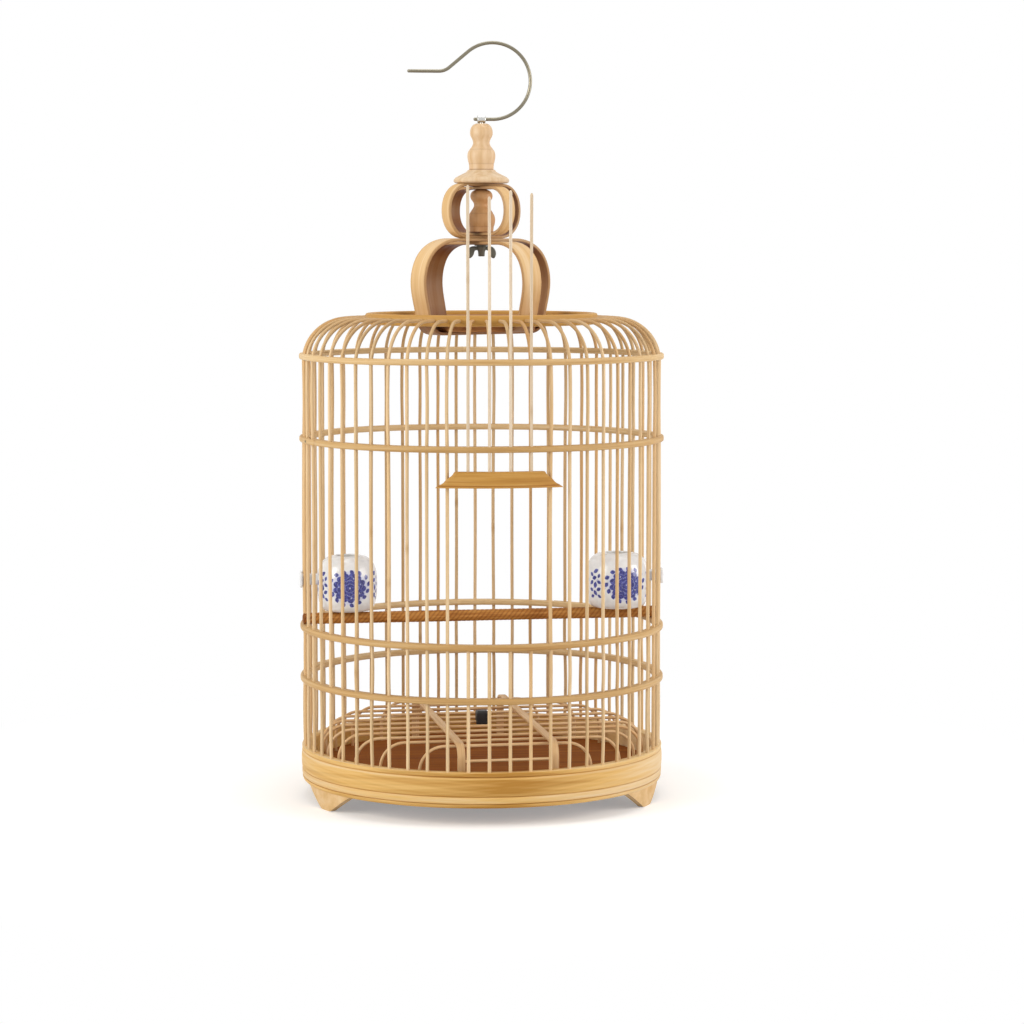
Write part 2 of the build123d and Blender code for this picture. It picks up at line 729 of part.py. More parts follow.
# Turned pieces, each a side curve spun round the bolt's hole
turned_pieces = {
    "inner_post": (post_bottom, post_top - post_bottom, post_radius, turned_side_shares),
    "cap": (small_loop_top, cap_height, cap_radius, cap_side_shares),
    "finial": (cap_top, finial_height, finial_radius, turned_side_shares),
}
for turned_name, (bottom, height, radius, side_shares) in turned_pieces.items():
    side_points = [(radius * out, bottom + height * up) for out, up in side_shares]
    with BuildPart() as turned:
        with BuildSketch(Plane.XZ):
            with BuildLine():
                Spline(*side_points)
                Polyline(
                    side_points[-1],
                    (bolt_radius + fit_gap, bottom + height),
                    (bolt_radius + fit_gap, bottom),
                    side_points[0],
                )
            make_face()
        revolve(axis=Axis.Z)
    turned.part.label = turned_name
    export_step(turned.part, f"parts/{turned_name}.step")

# Eye bolt down through the stack, with its washer and wing nut inside the large loops
with BuildPart() as eye_bolt:
    with BuildSketch(Plane.XY.offset(nut_bottom - bolt_tail)):
        Circle(bolt_radius)
    extrude(amount=eye_height - nut_bottom + bolt_tail)
    with BuildSketch(Plane.YZ):
        with Locations((0, eye_height)):
            Circle(eye_radius)
    extrude(amount=eye_width / 2, both=True)
    with BuildSketch(Plane.YZ):
        with Locations((0, eye_height)):
            Circle(wire_radius + fit_gap)
    extrude(amount=eye_width, both=True, mode=Mode.SUBTRACT)
eye_bolt.part.label = "eye_bolt"
export_step(eye_bolt.part, "parts/eye_bolt.step")

with BuildPart() as washer:
    with BuildSketch(Plane.XY.offset(nut_top)):
        Circle(washer_diameter / 2)
        Circle(bolt_radius + fit_gap, mode=Mode.SUBTRACT)
    extrude(amount=washer_thickness)
washer.part.label = "washer"
export_step(washer.part, "parts/washer.step")

with BuildPart() as wing_nut:
    with BuildSketch(Plane.XY.offset(nut_bottom)):
        Circle(nut_radius)
    extrude(amount=nut_height)
    with BuildSketch(Plane.XZ):
        wing_root = nut_radius / 2
        wing_shoulder = nut_bottom + wing_rise_share * nut_height
        for side in (-1, 1):
            with BuildLine():
                Polyline(
                    (side * wing_root, nut_bottom + wing_drop),
                    (side * nut_radius, nut_bottom + wing_drop / 2),
                    (side * (wing_span / 2 - wing_thickness), nut_bottom - wing_drop),
                    (side * wing_span / 2, nut_bottom + wing_drop),
                    (side * (wing_span / 2 - wing_thickness), wing_shoulder),
                    (side * wing_root, wing_shoulder),
                    close=True,
                )
            make_face()
    extrude(amount=wing_thickness / 2, both=True)
    with BuildSketch(Plane.XY.offset(nut_bottom - wing_drop)):
        Circle(bolt_radius + fit_gap)
    extrude(amount=nut_height + 2 * wing_drop, mode=Mode.SUBTRACT)
wing_nut.part.label = "wing_nut"
export_step(wing_nut.part, "parts/wing_nut.step")

# Hanging hook: one wire through the eye, up round the bow and back to a straight tail
with BuildPart() as hook:
    with BuildLine(Plane.XZ):
        lead = Line((-hook_outer_lead, eye_height), (hook_inner_lead, eye_height))
        bow = JernArc(lead @ 1, lead % 1, hook_bow_radius, hook_bow_angle)
        slant = Line(bow @ 1, bow @ 1 + hook_slant_length * (bow % 1))
        bend = JernArc(slant @ 1, slant % 1, hook_bend_radius, 180 - hook_bow_angle)
        Line(bend @ 1, bend @ 1 + hook_tail_length * (bend % 1))
    with BuildSketch(Plane.YZ.offset(-hook_outer_lead)):
        with Locations((0, eye_height)):
            Circle(wire_radius)
    sweep()
hook.part.label = "hook"
export_step(hook.part, "parts/hook.step")
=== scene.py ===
import json
from math import atan2, ceil, cos, pi, radians, sin, sqrt, tan

import bpy
import numpy as np
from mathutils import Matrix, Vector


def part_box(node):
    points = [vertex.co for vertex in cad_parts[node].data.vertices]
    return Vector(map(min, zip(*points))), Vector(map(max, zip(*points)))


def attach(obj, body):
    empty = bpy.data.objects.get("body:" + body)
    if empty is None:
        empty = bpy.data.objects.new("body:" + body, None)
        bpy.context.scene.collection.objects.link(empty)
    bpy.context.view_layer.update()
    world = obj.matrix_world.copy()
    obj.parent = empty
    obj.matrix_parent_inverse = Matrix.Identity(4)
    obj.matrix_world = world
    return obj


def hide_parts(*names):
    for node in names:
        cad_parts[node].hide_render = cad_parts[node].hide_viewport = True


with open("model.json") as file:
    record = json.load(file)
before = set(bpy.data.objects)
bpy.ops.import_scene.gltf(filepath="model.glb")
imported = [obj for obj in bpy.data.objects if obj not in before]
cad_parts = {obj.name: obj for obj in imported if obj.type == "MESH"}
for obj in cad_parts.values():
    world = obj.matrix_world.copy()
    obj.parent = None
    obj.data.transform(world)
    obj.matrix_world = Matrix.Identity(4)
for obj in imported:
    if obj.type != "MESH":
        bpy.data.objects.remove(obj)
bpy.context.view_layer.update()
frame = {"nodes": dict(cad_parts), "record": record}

# A bamboo bird cage. Every length is in metres, and the door faces -Y.
mm = 0.001
upward = np.array((0, 0, 1))
nodes = frame["nodes"]
random = np.random.default_rng(56)

# Ribs and rods
rib_count = 56
door_rib_count = 4
rib_step = 2 * pi / rib_count
rib_radius = 1.25 * mm
rod_radius = 1.1 * mm
rib_circle = 128.8 * mm
rod_circle = 130.25 * mm
head_rib_circle = 127.25 * mm
dome_bend = 31.0 * mm
rib_bow = 0.45 * mm
rib_joint_spacing = 260 * mm
rib_end_depth = 3 * mm
rod_heights = (203.8 * mm, 196.0 * mm, 200.2 * mm, 198.4 * mm)

# Hoops
hoop_rounding = 1.35 * mm
scarf_half_angle = radians(8.0)
scarf_tip = 0.4 * mm
scarf_gap = 0.12 * mm
nail_steps = {"lower_hoop": -19, "perch_hoop": 22, "upper_hoop": -12, "shoulder_hoop": 20}

# Base ring and turned pieces: the grooves, and the base's waves of lighter and darker skin,
# as (count round the ring, slant, size)
groove_width = 0.32 * mm
base_streaks = ((3, 1.2, 0.06), (5, -2.6, 0.06), (9, 5.0, 0.05), (14, -7.0, 0.05), (23, 11.0, 0.04),
                (37, -15.0, 0.03))

# Crossed loops, their sides as shares of half width and height, from the foot up
loop_turn = radians(-12.0)
loops = {
    "large": {
        "half_width": 58.4 * mm, "width": 16.4 * mm, "thickness": 2.3 * mm,
        "side_shares": ((0.69, 0.0), (0.865, 0.065), (0.93, 0.22), (1.0, 0.545), (0.865, 0.86), (0.655, 0.972),
                        (0.45, 1.0)),
    },
    "small": {
        "half_width": 33.0 * mm, "width": 9.5 * mm, "thickness": 2.2 * mm,
        "side_shares": ((0.46, 0.0), (0.755, 0.075), (0.94, 0.26), (1.0, 0.52), (0.9, 0.81), (0.68, 0.965),
                        (0.42, 1.0)),
    },
}

# Hook wire
wire_radius = 1.25 * mm

# Cups
cup_inner_side = 76.3 * mm
lug_end = 130.6 * mm

# Floor grille
grille_turn = radians(4.0)
grille_radius = 117.0 * mm
slat_count = 11
slat_inset = 17.0 * mm
slat_rise = 29.0 * mm
slat_bend = 17.0 * mm
crossbar_spacing = 66.0 * mm
crossbar_width = 5.5 * mm
crossbar_thickness = 2.0 * mm
crossbar_bend = 10.0 * mm
tie_drop = 10.0 * mm

# Camera, set so that the hoops, the base and the crown lie where the photograph shows them
camera_distance = 2.0745
camera_height = 0.3984
camera_azimuth = radians(-5.55)
camera_turn = radians(0.61)
camera_pitch = radians(4.264)
camera_lens = 100.60
camera_shift = -0.05


# Numbers and shapes
def held(value):
    """A value kept between nought and one."""
    return np.clip(value, 0, 1)


def hump(gap, width):
    """A bell curve: one where the gap is nought, 1/e where it is the width."""
    return np.exp(-(gap / width) ** 2)


def bulge(value, power):
    """A power of a value, with the value's sign."""
    return np.sign(value) * np.abs(value) ** power


def unit(vectors):
    """Vectors of length one along the last axis."""
    vectors = np.asarray(vectors, float)
    return vectors / np.linalg.norm(vectors, axis=-1, keepdims=True)


def rounded_route(corners, bend, step, bend_step):
    """A flat route of straight runs joined by arcs of one radius.
    Each arc begins radius times tan(turn / 2) before its corner."""
    corners = np.asarray(corners, float)
    parts = []
    start = corners[0]
    for before, corner, after in zip(corners[:-2], corners[1:-1], corners[2:]):
        into = unit(corner - before)
        out = unit(after - corner)
        turn = atan2(into[0] * out[1] - into[1] * out[0], into @ out)
        cut = bend * tan(abs(turn) / 2)
        arc_start = corner - cut * into
        side = np.sign(turn) * np.array((-into[1], into[0]))
        count = max(2, ceil(abs(turn) * bend / bend_step))
        angle = np.linspace(0, turn, count + 1)[:-1, None]
        arm = -bend * side
        turned = arm * np.cos(angle) + np.array((-arm[1], arm[0])) * np.sin(angle)
        parts.append(straight_run(start, arc_start, step)[:-1])
        parts.append(arc_start + bend * side + turned)
        start = corner + cut * out
    parts.append(straight_run(start, corners[-1], step))
    return np.concatenate(parts)


def straight_run(start, end, step):
    """Even points from start to end, both included."""
    count = max(1, ceil(np.linalg.norm(np.subtract(end, start)) / step))
    return np.linspace(start, end, count + 1)


def lengths(route):
    """How far along a route each of its points lies."""
    return np.concatenate([[0], np.cumsum(np.linalg.norm(np.diff(route, axis=0), axis=1))])


def smooth_through(points, count, ways=None):
    """A cubic curve through points, by chord length: the second differences solve a band of equations.
    With ways, its first and last directions are given, and without them its ends have no curvature."""
    points = np.asarray(points, float)
    place = lengths(points)
    gap = np.diff(place)
    size = len(points)
    band = np.zeros((size, size))
    right = np.zeros_like(points)
    inner = np.arange(1, size - 1)
    slope = np.diff(points, axis=0) / gap[:, None]
    band[inner, inner - 1] = gap[1:]
    band[inner, inner] = 2 * (gap[:-1] + gap[1:])
    band[inner, inner + 1] = gap[:-1]
    right[inner] = 3 * (gap[1:, None] * slope[:-1] + gap[:-1, None] * slope[1:])
    if ways is None:
        band[0, :2] = (2, 1)
        band[-1, -2:] = (1, 2)
        right[0], right[-1] = 3 * slope[0], 3 * slope[-1]
    else:
        band[0, 0] = band[-1, -1] = 1
        right[0], right[-1] = ways
    speed = np.linalg.solve(band, right)
    at = np.linspace(0, place[-1], count)
    part = np.clip(np.searchsorted(place, at, side="right") - 1, 0, size - 2)
    t = ((at - place[part]) / gap[part])[:, None]
    step = gap[part][:, None]
    return ((1 + 2 * t) * (1 - t) ** 2 * points[part] + t * (1 - t) ** 2 * step * speed[part]
            + t**2 * (3 - 2 * t) * points[part + 1] - t**2 * (1 - t) * step * speed[part + 1])


def round_section(radius, columns):
    """A circle of the given radius, or one circle for each radius in a list."""
    angle = np.arange(columns) * 2 * pi / columns
    circle = np.stack([np.cos(angle), np.sin(angle)], -1)
    return np.asarray(radius)[..., None, None] * circle


def strip_section(width, thickness, rounding, per_corner=4):
    """A rectangle with rounded corners: four quarter circles about points set in from its corners.
    Each size may be a list, one for each row."""
    width, thickness = np.asarray(width, float), np.asarray(thickness, float)
    rounding = np.minimum(rounding, 0.49 * np.minimum(width, thickness))
    angle = (np.arange(4)[:, None] + np.linspace(0, 1, per_corner)) * pi / 2
    across = np.sign(np.cos(np.arange(4) * pi / 2 + pi / 4))[:, None] + 0 * angle
    up = np.sign(np.sin(np.arange(4) * pi / 2 + pi / 4))[:, None] + 0 * angle
    across, up, angle = across.ravel(), up.ravel(), angle.ravel()
    half_width, half_thickness = width[..., None] / 2, thickness[..., None] / 2
    corner = np.asarray(rounding)[..., None]
    return np.stack([
        across * (half_width - corner) + corner * np.cos(angle),
        up * (half_thickness - corner) + corner * np.sin(angle),
    ], -1)


def staple(reach, foot, top, bend, step, bend_step):
    """A route up from a foot, across at the top and down again, with rounded corners."""
    return rounded_route(((-reach, foot), (-reach, top), (reach, top), (reach, foot)), bend, step, bend_step)


def evened(section, columns):
    """The same closed section with even steps round it."""
    closed = np.concatenate([section, section[:1]])
    place = lengths(closed)
    spots = np.linspace(0, place[-1], columns, endpoint=False)
    return np.stack([np.interp(spots, place, values) for values in closed.T], -1)


def carry(section, route, side):
    """A section carried along a route: route point + across * side + up * (side x way)."""
    route = np.asarray(route, float)
    leg = unit(np.diff(route, axis=0))
    way = unit(np.concatenate([leg[:1], leg[:-1] + leg[1:], leg[-1:]]))
    side = np.broadcast_to(side, route.shape)
    up = np.cross(side, way)
    section = np.broadcast_to(section, (len(route),) + section.shape[-2:])
    return route[:, None] + section[..., :1] * side[:, None] + section[..., 1:] * up[:, None]


def polar(radius, angle, height):
    """Points at a radius, an angle round the cage's axis and a height."""
    return np.stack(np.broadcast_arrays(radius * np.cos(angle), radius * np.sin(angle), height), -1)


def spun(side_points, columns, centre=(0, 0), first_angle=pi / 2):
    """A side curve of (radius, height) points spun round an upright axis."""
    side_points = np.asarray(side_points, float)
    angle = first_angle + np.arange(columns) * 2 * pi / columns
    return polar(side_points[:, :1], angle, side_points[:, 1:]) + (*centre, 0)


def pillow(centre, half_sizes, squareness, rows, columns):
    """A rounded block: the sphere's sines and cosines raised to a power under one, times the half sizes."""
    high = np.linspace(-pi / 2, pi / 2, rows)[1:-1, None]
    turn = np.arange(columns) * 2 * pi / columns
    level = bulge(np.cos(high), squareness)
    block = np.stack(np.broadcast_arrays(level * bulge(np.cos(turn), squareness),
                                         level * bulge(np.sin(turn), squareness),
                                         bulge(np.sin(high), squareness)), -1)
    return np.asarray(centre) + block * np.asarray(half_sizes)


def upright(route, azimuth):
    """A flat (out, height) route stood up in the plane through the axis at an azimuth."""
    return polar(route[:, 0], azimuth, route[:, 1])


def across_way(azimuth):
    """The level direction square to an azimuth."""
    return np.array((-sin(azimuth), cos(azimuth), 0.0))


def stood(route, offset, way, side):
    """A flat (run, height) route stood up along a level way and moved sideways by an offset."""
    return route[:, :1] * way + route[:, 1:] * upward + offset * side


def inner_radius(node):
    """The distance from the cage's axis to the nearest corner point of a node."""
    mesh = nodes[node].data
    points = np.empty(3 * len(mesh.vertices), np.float32)
    mesh.vertices.foreach_get("co", points)
    return float(np.hypot(*points.reshape(-1, 3)[:, :2].T).min())


def surface(points, ring=True, lids=True, tone=0.5, mark=0.0, start=0.0, turned=False):
    """One grid of points, rows along and columns across, and what its material reads from it.
    It is turned where the grain runs across the rows."""
    return dict(points=points, ring=ring, lids=lids, tone=tone, mark=mark, start=start, turned=turned)


def quads(table):
    """The four corners of each cell of a table, in turn."""
    return np.stack([table[:-1, :-1], table[:-1, 1:], table[1:, 1:], table[1:, :-1]], 2)


def faces_of(part):
    """One surface's points, its quads, the fans of triangles on its two ends, and the map of both.
    Where their signed volume comes out negative, the faces are turned round."""
    grid = np.asarray(part["points"], float)
    rows, columns = grid.shape[:2]
    number = np.arange(rows * columns).reshape(rows, columns)
    looped = grid
    if part["ring"]:
        looped = np.concatenate([grid, grid[:, :1]], 1)
        number = np.concatenate([number, number[:, :1]], 1)
    along = np.linalg.norm(np.diff(grid, axis=0), axis=2).mean(1)
    along = np.concatenate([[0], np.cumsum(along)]) + part["start"]
    across = np.linalg.norm(np.diff(looped, axis=1), axis=2).mean(0)
    across = np.concatenate([[0], np.cumsum(across)])
    place = np.stack(np.broadcast_arrays(along[:, None], across[None]), -1)
    place = place[..., ::-1] if part["turned"] else place
    faces, face_maps = quads(number).reshape(-1, 4), quads(place).reshape(-1, 4, 2)
    fans, fan_maps = np.empty((0, 3), int), np.empty((0, 3, 2))
    flat = grid.reshape(-1, 3)
    if part["ring"] and part["lids"]:
        for row, order in ((0, -1), (rows - 1, 1)):
            flat = np.concatenate([flat, grid[row].mean(0)[None]])
            edge = (number[row][:-1], number[row][1:])[::order]
            edge_map = (place[row][:-1], place[row][1:])[::order]
            middle = np.full(columns, len(flat) - 1)
            middle_map = np.broadcast_to(place[row].mean(0), (columns, 2))
            fans = np.concatenate([fans, np.stack([*edge, middle], -1)])
            fan_maps = np.concatenate([fan_maps, np.stack([*edge_map, middle_map], 1)])
        triangles = np.concatenate([faces[:, :3], faces[:, [0, 2, 3]], fans])
        a, b, c = (flat[triangles[:, k]] for k in range(3))
        if np.einsum("ij,ij->", a, np.cross(b, c)) < 0:
            faces, face_maps, fans, fan_maps = (v[:, ::-1] for v in (faces, face_maps, fans, fan_maps))
    return flat, faces, fans, face_maps, fan_maps


def mesh_of(name, surfaces):
    """One mesh of several surfaces. Its map gives the length along the rows and the length across them,
    in metres, and its attributes each point's tone and mark."""
    points, corners, counts, maps = [], [], [], []
    values = {"tone": [], "mark": []}
    first = 0
    for part in surfaces:
        flat, faces, fans, face_maps, fan_maps = faces_of(part)
        rows, columns = part["points"].shape[:2]
        ends = [0, -1][:len(flat) - rows * columns]
        for key, store in values.items():
            value = np.broadcast_to(part[key], (rows, columns)).astype(float)
            store.append(np.concatenate([value.ravel(), value[ends].mean(1)]))
        points.append(flat)
        corners += [(faces + first).ravel(), (fans + first).ravel()]
        counts += [np.full(len(faces), 4), np.full(len(fans), 3)]
        maps += [face_maps.reshape(-1, 2), fan_maps.reshape(-1, 2)]
        first += len(flat)
    points, corners, counts = np.concatenate(points), np.concatenate(corners), np.concatenate(counts)
    mesh = bpy.data.meshes.new(name)
    mesh.vertices.add(len(points))
    mesh.vertices.foreach_set("co", points.ravel())
    mesh.loops.add(len(corners))
    mesh.loops.foreach_set("vertex_index", corners)
    mesh.polygons.add(len(counts))
    mesh.polygons.foreach_set("loop_start", np.concatenate([[0], np.cumsum(counts)[:-1]]))
    mesh.update(calc_edges=True)
    mesh.uv_layers.new(name="length_map").data.foreach_set("uv", np.concatenate(maps).ravel())
    for key, store in values.items():
        mesh.attributes.new(key, "FLOAT", "POINT").data.foreach_set("value", np.concatenate(store))
    mesh.validate()
    return mesh


def added(name, data):
    """A new object in the scene."""
    thing = bpy.data.objects.new(name, data)
    bpy.context.scene.collection.objects.link(thing)
    return thing


def dress(name, surfaces, slot, node, crease=40):
    """A new piece in the scene that rides on a node's body and stands for that plain node."""
    mesh = mesh_of(name, surfaces)
    mesh.shade_smooth()
    mesh.set_sharp_from_angle(angle=radians(crease))
    mesh.materials.append(materials[slot])
    piece = added(name, mesh)
    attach(piece, body_of(node))
    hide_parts(node)


def finish_node(name, slot):
    """A plain piece of the construction that keeps its shape and gets its finish."""
    node = nodes[name]
    if not node.material_slots:
        node.data.materials.append(None)
    for place in node.material_slots:
        place.material = materials[slot]


def body_of(node):
    """The body that a node rides on."""
    for body, members in frame["record"]["behaviour"]["bodies"].items():
        if node in members:
            return body
    return "root"


# Finishes
class Finish:
    """The nodes of a new material or world, with short calls that add one and link or set its inputs."""

    def __init__(self, owner):
        self.owner = owner
        self.owner.use_nodes = True
        self.tree = self.owner.node_tree
        self.tree.nodes.clear()

    def add(self, kind, settings=None, **inputs):
        """A node. An input goes by its name, or by n and its number, and takes a socket or a fixed value."""
        node = self.tree.nodes.new(kind)
        for key, value in (settings or {}).items():
            setattr(node, key, value)
        for key, value in inputs.items():
            numbered = key[0] == "n" and key[1:].isdigit()
            socket = node.inputs[int(key[1:]) if numbered else key.replace("_", " ")]
            if isinstance(value, bpy.types.NodeSocket):
                self.tree.links.new(value, socket)
            else:
                socket.default_value = (*value, 1) if socket.type == "RGBA" else value
        return node

    def noise(self, on_map, cycles, detail, roughness=0.55, distortion=0.0):
        """Noise of so many cycles a metre each way, on the piece's length map or in its own coordinates."""
        source = self.add("ShaderNodeTexCoord").outputs["UV" if on_map else "Object"]
        place = self.add("ShaderNodeMapping", Vector=source, Scale=cycles).outputs[0]
        return self.add("ShaderNodeTexNoise", Vector=place, Scale=1.0, Detail=detail, Roughness=roughness,
                        Distortion=distortion).outputs["Fac"]

    def attribute(self, name):
        return self.add("ShaderNodeAttribute", {"attribute_name": name}).outputs["Fac"]

    def spread(self, value, low, high, to_low=0.0, to_high=1.0):
        """A value between low and high, spread over a new range and held there."""
        return self.add("ShaderNodeMapRange", {"clamp": True, "interpolation_type": "SMOOTHSTEP"}, Value=value,
                        n1=low, n2=high, n3=to_low, n4=to_high).outputs[0]

    def ramp(self, value, stops):
        node = self.add("ShaderNodeValToRGB", Fac=value)
        while len(node.color_ramp.elements) < len(stops):
            node.color_ramp.elements.new(0.5)
        for element, (position, colour) in zip(node.color_ramp.elements, stops):
            element.position = position
            element.color = (*colour, 1)
        return node.outputs[0]

    def mix(self, factor, first, second, blend="MIX"):
        return self.add("ShaderNodeMix", {"data_type": "RGBA", "blend_type": blend},
                        n0=factor, n6=first, n7=second).outputs[2]

    def math(self, operation, first, second):
        return self.add("ShaderNodeMath", {"operation": operation}, n0=first, n1=second).outputs[0]

    def plus(self, first, second):
        return self.math("ADD", first, second)

    def times(self, first, second):
        return self.math("MULTIPLY", first, second)

    def shader(self, colour, roughness, height, bump, strength=0.6, **constants):
        """The surface: its colour and roughness, a bump of that many metres, and its fixed values."""
        lifted = self.add("ShaderNodeBump", Strength=strength, Distance=bump, Height=height)
        skin = self.add("ShaderNodeBsdfPrincipled", Base_Color=colour, Roughness=roughness,
                        Normal=lifted.outputs[0], **constants)
        self.add("ShaderNodeOutputMaterial", n0=skin.outputs[0])
        return self.owner


def new_finish(name):
    """The nodes of a new material."""
    return Finish(bpy.data.materials.new(name))


def bamboo(name, dark, middle, pale, stain, tints=((0.84, 0.78, 0.68), (0.94, 0.92, 0.88), (1, 1, 1)),
           on_map=True, along=16.0, across=520.0, roughness=(0.42, 0.6), mark_tint=None, flecks=0.12):
    """Bamboo or straight-grained wood: long streaks, cloudy patches, fine fibres and short dark pores.
    Scales are in cycles for each metre along the grain and across it."""
    f = new_finish(name)
    long = f.noise(on_map, (along, across, across), detail=5, roughness=0.62)
    cloud = f.noise(on_map, (along * 0.5, across * 0.09, across * 0.09), detail=3)
    fibre = f.noise(on_map, (along * 5, across * 6.5, across * 6.5), detail=3, roughness=0.7)
    pores = f.noise(on_map, (along * 9, across * 4.0, across * 4.0), detail=2)
    body = f.ramp(long, ((0.3, dark), (0.5, middle), (0.7, pale)))
    body = f.mix(f.spread(cloud, 0.48, 0.7, 0.0, 0.7), body, stain, "MULTIPLY")
    body = f.mix(f.spread(fibre, 0.3, 0.7, 0.0, 0.25), body, tuple(0.8 * c for c in middle))
    body = f.mix(f.spread(pores, 0.66, 0.72, 0.0, flecks), body, tuple(0.42 * c for c in dark))
    if on_map:
        # Tone is each piece's own tone, and on the base and the hoops it is also painted light.
        body = f.mix(1.0, body, f.ramp(f.attribute("tone"), tuple(zip((0.0, 0.5, 1.0), tints))), "MULTIPLY")
    if mark_tint:
        # The mark darkens joints, and on the base, rail and loops it darkens grooves, edges and insides as
        # painted shade.
        body = f.mix(f.attribute("mark"), body, mark_tint, "MULTIPLY")
    gloss = f.spread(f.times(long, fibre), 0.12, 0.42, roughness[1], roughness[0])
    return f.shader(body, gloss, f.plus(fibre, f.times(long, 0.6)), 0.1 * mm, Specular_IOR_Level=0.3)


def stained_board():
    """Chestnut stain on a board: wavy growth lines along X, cloudy stain and open pores, hardly any varnish."""
    f = new_finish("stained_board")
    warp = f.noise(False, (5.0, 26.0, 26.0), detail=2)
    lines = f.noise(False, (6.0, 150.0, 150.0), detail=4, roughness=0.45, distortion=0.4)
    pores = f.noise(False, (90.0, 1900.0, 1900.0), detail=2)
    body = f.ramp(f.plus(lines, f.times(warp, 0.25)),
                  ((0.4, (0.2, 0.06, 0.011)), (0.62, (0.26, 0.084, 0.017)), (0.84, (0.33, 0.12, 0.028))))
    body = f.mix(f.spread(pores, 0.6, 0.72, 0.0, 0.25), body, (0.12, 0.035, 0.007))
    gloss = f.spread(lines, 0.3, 0.7, 0.7, 0.85)
    return f.shader(body, gloss, f.math("SUBTRACT", lines, pores), 0.2 * mm, Specular_IOR_Level=0.06)


def crown_stain():
    """The crown's board and boss: bamboo laths under an orange-brown stain."""
    return bamboo("crown_stain", (0.2, 0.075, 0.02), (0.36, 0.15, 0.045), (0.5, 0.24, 0.08),
                  (0.75, 0.5, 0.32), on_map=False, along=10.0, across=260.0, roughness=(0.6, 0.8))


def turned_wood():
    """Pale lathe-turned wood: soft upright grain, faint rings from the chisel, a waxed skin."""
    f = new_finish("turned_wood")
    grain = f.noise(False, (260.0, 260.0, 22.0), detail=4, roughness=0.5, distortion=0.3)
    cloud = f.noise(False, (60.0, 60.0, 20.0), detail=3)
    rings = f.noise(False, (2.0, 2.0, 2600.0), detail=2)
    body = f.ramp(grain, ((0.3, (0.61, 0.41, 0.22)), (0.5, (0.69, 0.49, 0.3)), (0.7, (0.75, 0.57, 0.38))))
    body = f.mix(f.spread(cloud, 0.46, 0.7, 0.0, 0.6), body, (0.93, 0.8, 0.64), "MULTIPLY")
    # Painted light by piece: tone darkens the post as painted shade and makes the cap paler and cooler.
    painted_light_by_piece = f.ramp(f.attribute("tone"),
                 ((0.0, (0.82, 0.62, 0.42)), (0.5, (0.98, 0.95, 0.9)), (1.0, (0.94, 0.98, 1.0))))
    body = f.mix(1.0, body, painted_light_by_piece, "MULTIPLY")
    # The mark darkens the cuts and the seats as painted shade.
    body = f.mix(f.attribute("mark"), body, (0.34, 0.2, 0.12), "MULTIPLY")
    gloss = f.spread(grain, 0.3, 0.7, 0.5, 0.38)
    return f.shader(body, gloss, f.plus(grain, f.times(rings, 0.5)), 0.08 * mm, Specular_IOR_Level=0.4)


def perch_wood():
    """Orange-brown perch: the spiral cuts darker as painted shade, the two ends darker, the lands between them
    lighter.
    """
    f = new_finish("perch_wood")
    grain = f.noise(True, (26.0, 480.0, 480.0), detail=5, roughness=0.62)
    cloud = f.noise(True, (30.0, 60.0, 60.0), detail=3)
    body = f.ramp(grain, ((0.3, (0.3, 0.11, 0.02)), (0.5, (0.48, 0.205, 0.045)), (0.7, (0.6, 0.3, 0.085))))
    body = f.mix(f.spread(cloud, 0.46, 0.7, 0.0, 0.7), body, (0.66, 0.54, 0.42), "MULTIPLY")
    body = f.mix(f.attribute("mark"), body, (0.42, 0.3, 0.22), "MULTIPLY")
    gloss = f.spread(grain, 0.3, 0.7, 0.66, 0.5)
    return f.shader(body, gloss, grain, 0.1 * mm, Specular_IOR_Level=0.2)


def porcelain():
    """White glaze over a cobalt painting: thin strokes bleed pale blue, full ones pool nearly black-blue.
    The inside of a cup is a little darker: some dust and painted shade."""
    f = new_finish("porcelain")
    glaze = f.noise(False, (160.0, 160.0, 160.0), detail=3)
    pool = f.noise(False, (700.0, 700.0, 700.0), detail=3)
    body = f.ramp(glaze, ((0.35, (0.72, 0.73, 0.74)), (0.65, (0.81, 0.82, 0.83))))
    dust_and_shade = f.ramp(f.attribute("tone"), ((0.0, (0.9, 0.88, 0.84)), (0.5, (1, 1, 1))))
    body = f.mix(1.0, body, dust_and_shade, "MULTIPLY")
    blue = f.ramp(pool, ((0.32, (0.018, 0.02, 0.13)), (0.5, (0.036, 0.042, 0.25)), (0.68, (0.1, 0.12, 0.46))))
    paint = f.attribute("mark")
    body = f.mix(f.spread(paint, 0.02, 0.5, 0.0, 0.75), body, (0.42, 0.47, 0.82))
    body = f.mix(f.spread(paint, 0.4, 0.95), body, blue)
    return f.shader(body, f.spread(glaze, 0.3, 0.7, 0.12, 0.24), glaze, 0.2 * mm, 0.25,
                    Specular_IOR_Level=0.5, Coat_Weight=0.35, Coat_Roughness=0.08)


def metal(name, dark, pale, roughness, on_map=True, metallic=1.0):
    """Drawn or cast metal: fine lines along it and broad dull patches."""
    f = new_finish(name)
    drawn = f.noise(on_map, (30.0, 300.0, 300.0), detail=3, roughness=0.5)
    patch = f.noise(on_map, (6.0, 60.0, 60.0), detail=3)
    body = f.ramp(patch, ((0.3, dark), (0.68, pale)))
    gloss = f.spread(f.times(drawn, patch), 0.12, 0.4, *roughness)
    return f.shader(body, gloss, drawn, 0.02 * mm, 0.3, Metallic=metallic)


def black_plastic():
    """Moulded plastic: near-black, with a fine spark-eroded skin."""
    f = new_finish("black_plastic")
    skin = f.noise(False, (1500.0, 1500.0, 1500.0), detail=3)
    wear = f.noise(False, (180.0, 180.0, 180.0), detail=3)
    body = f.ramp(wear, ((0.35, (0.008, 0.008, 0.009)), (0.7, (0.022, 0.022, 0.023))))
    return f.shader(body, f.spread(wear, 0.3, 0.7, 0.36, 0.52), skin, 0.08 * mm, 0.5, Specular_IOR_Level=0.45)


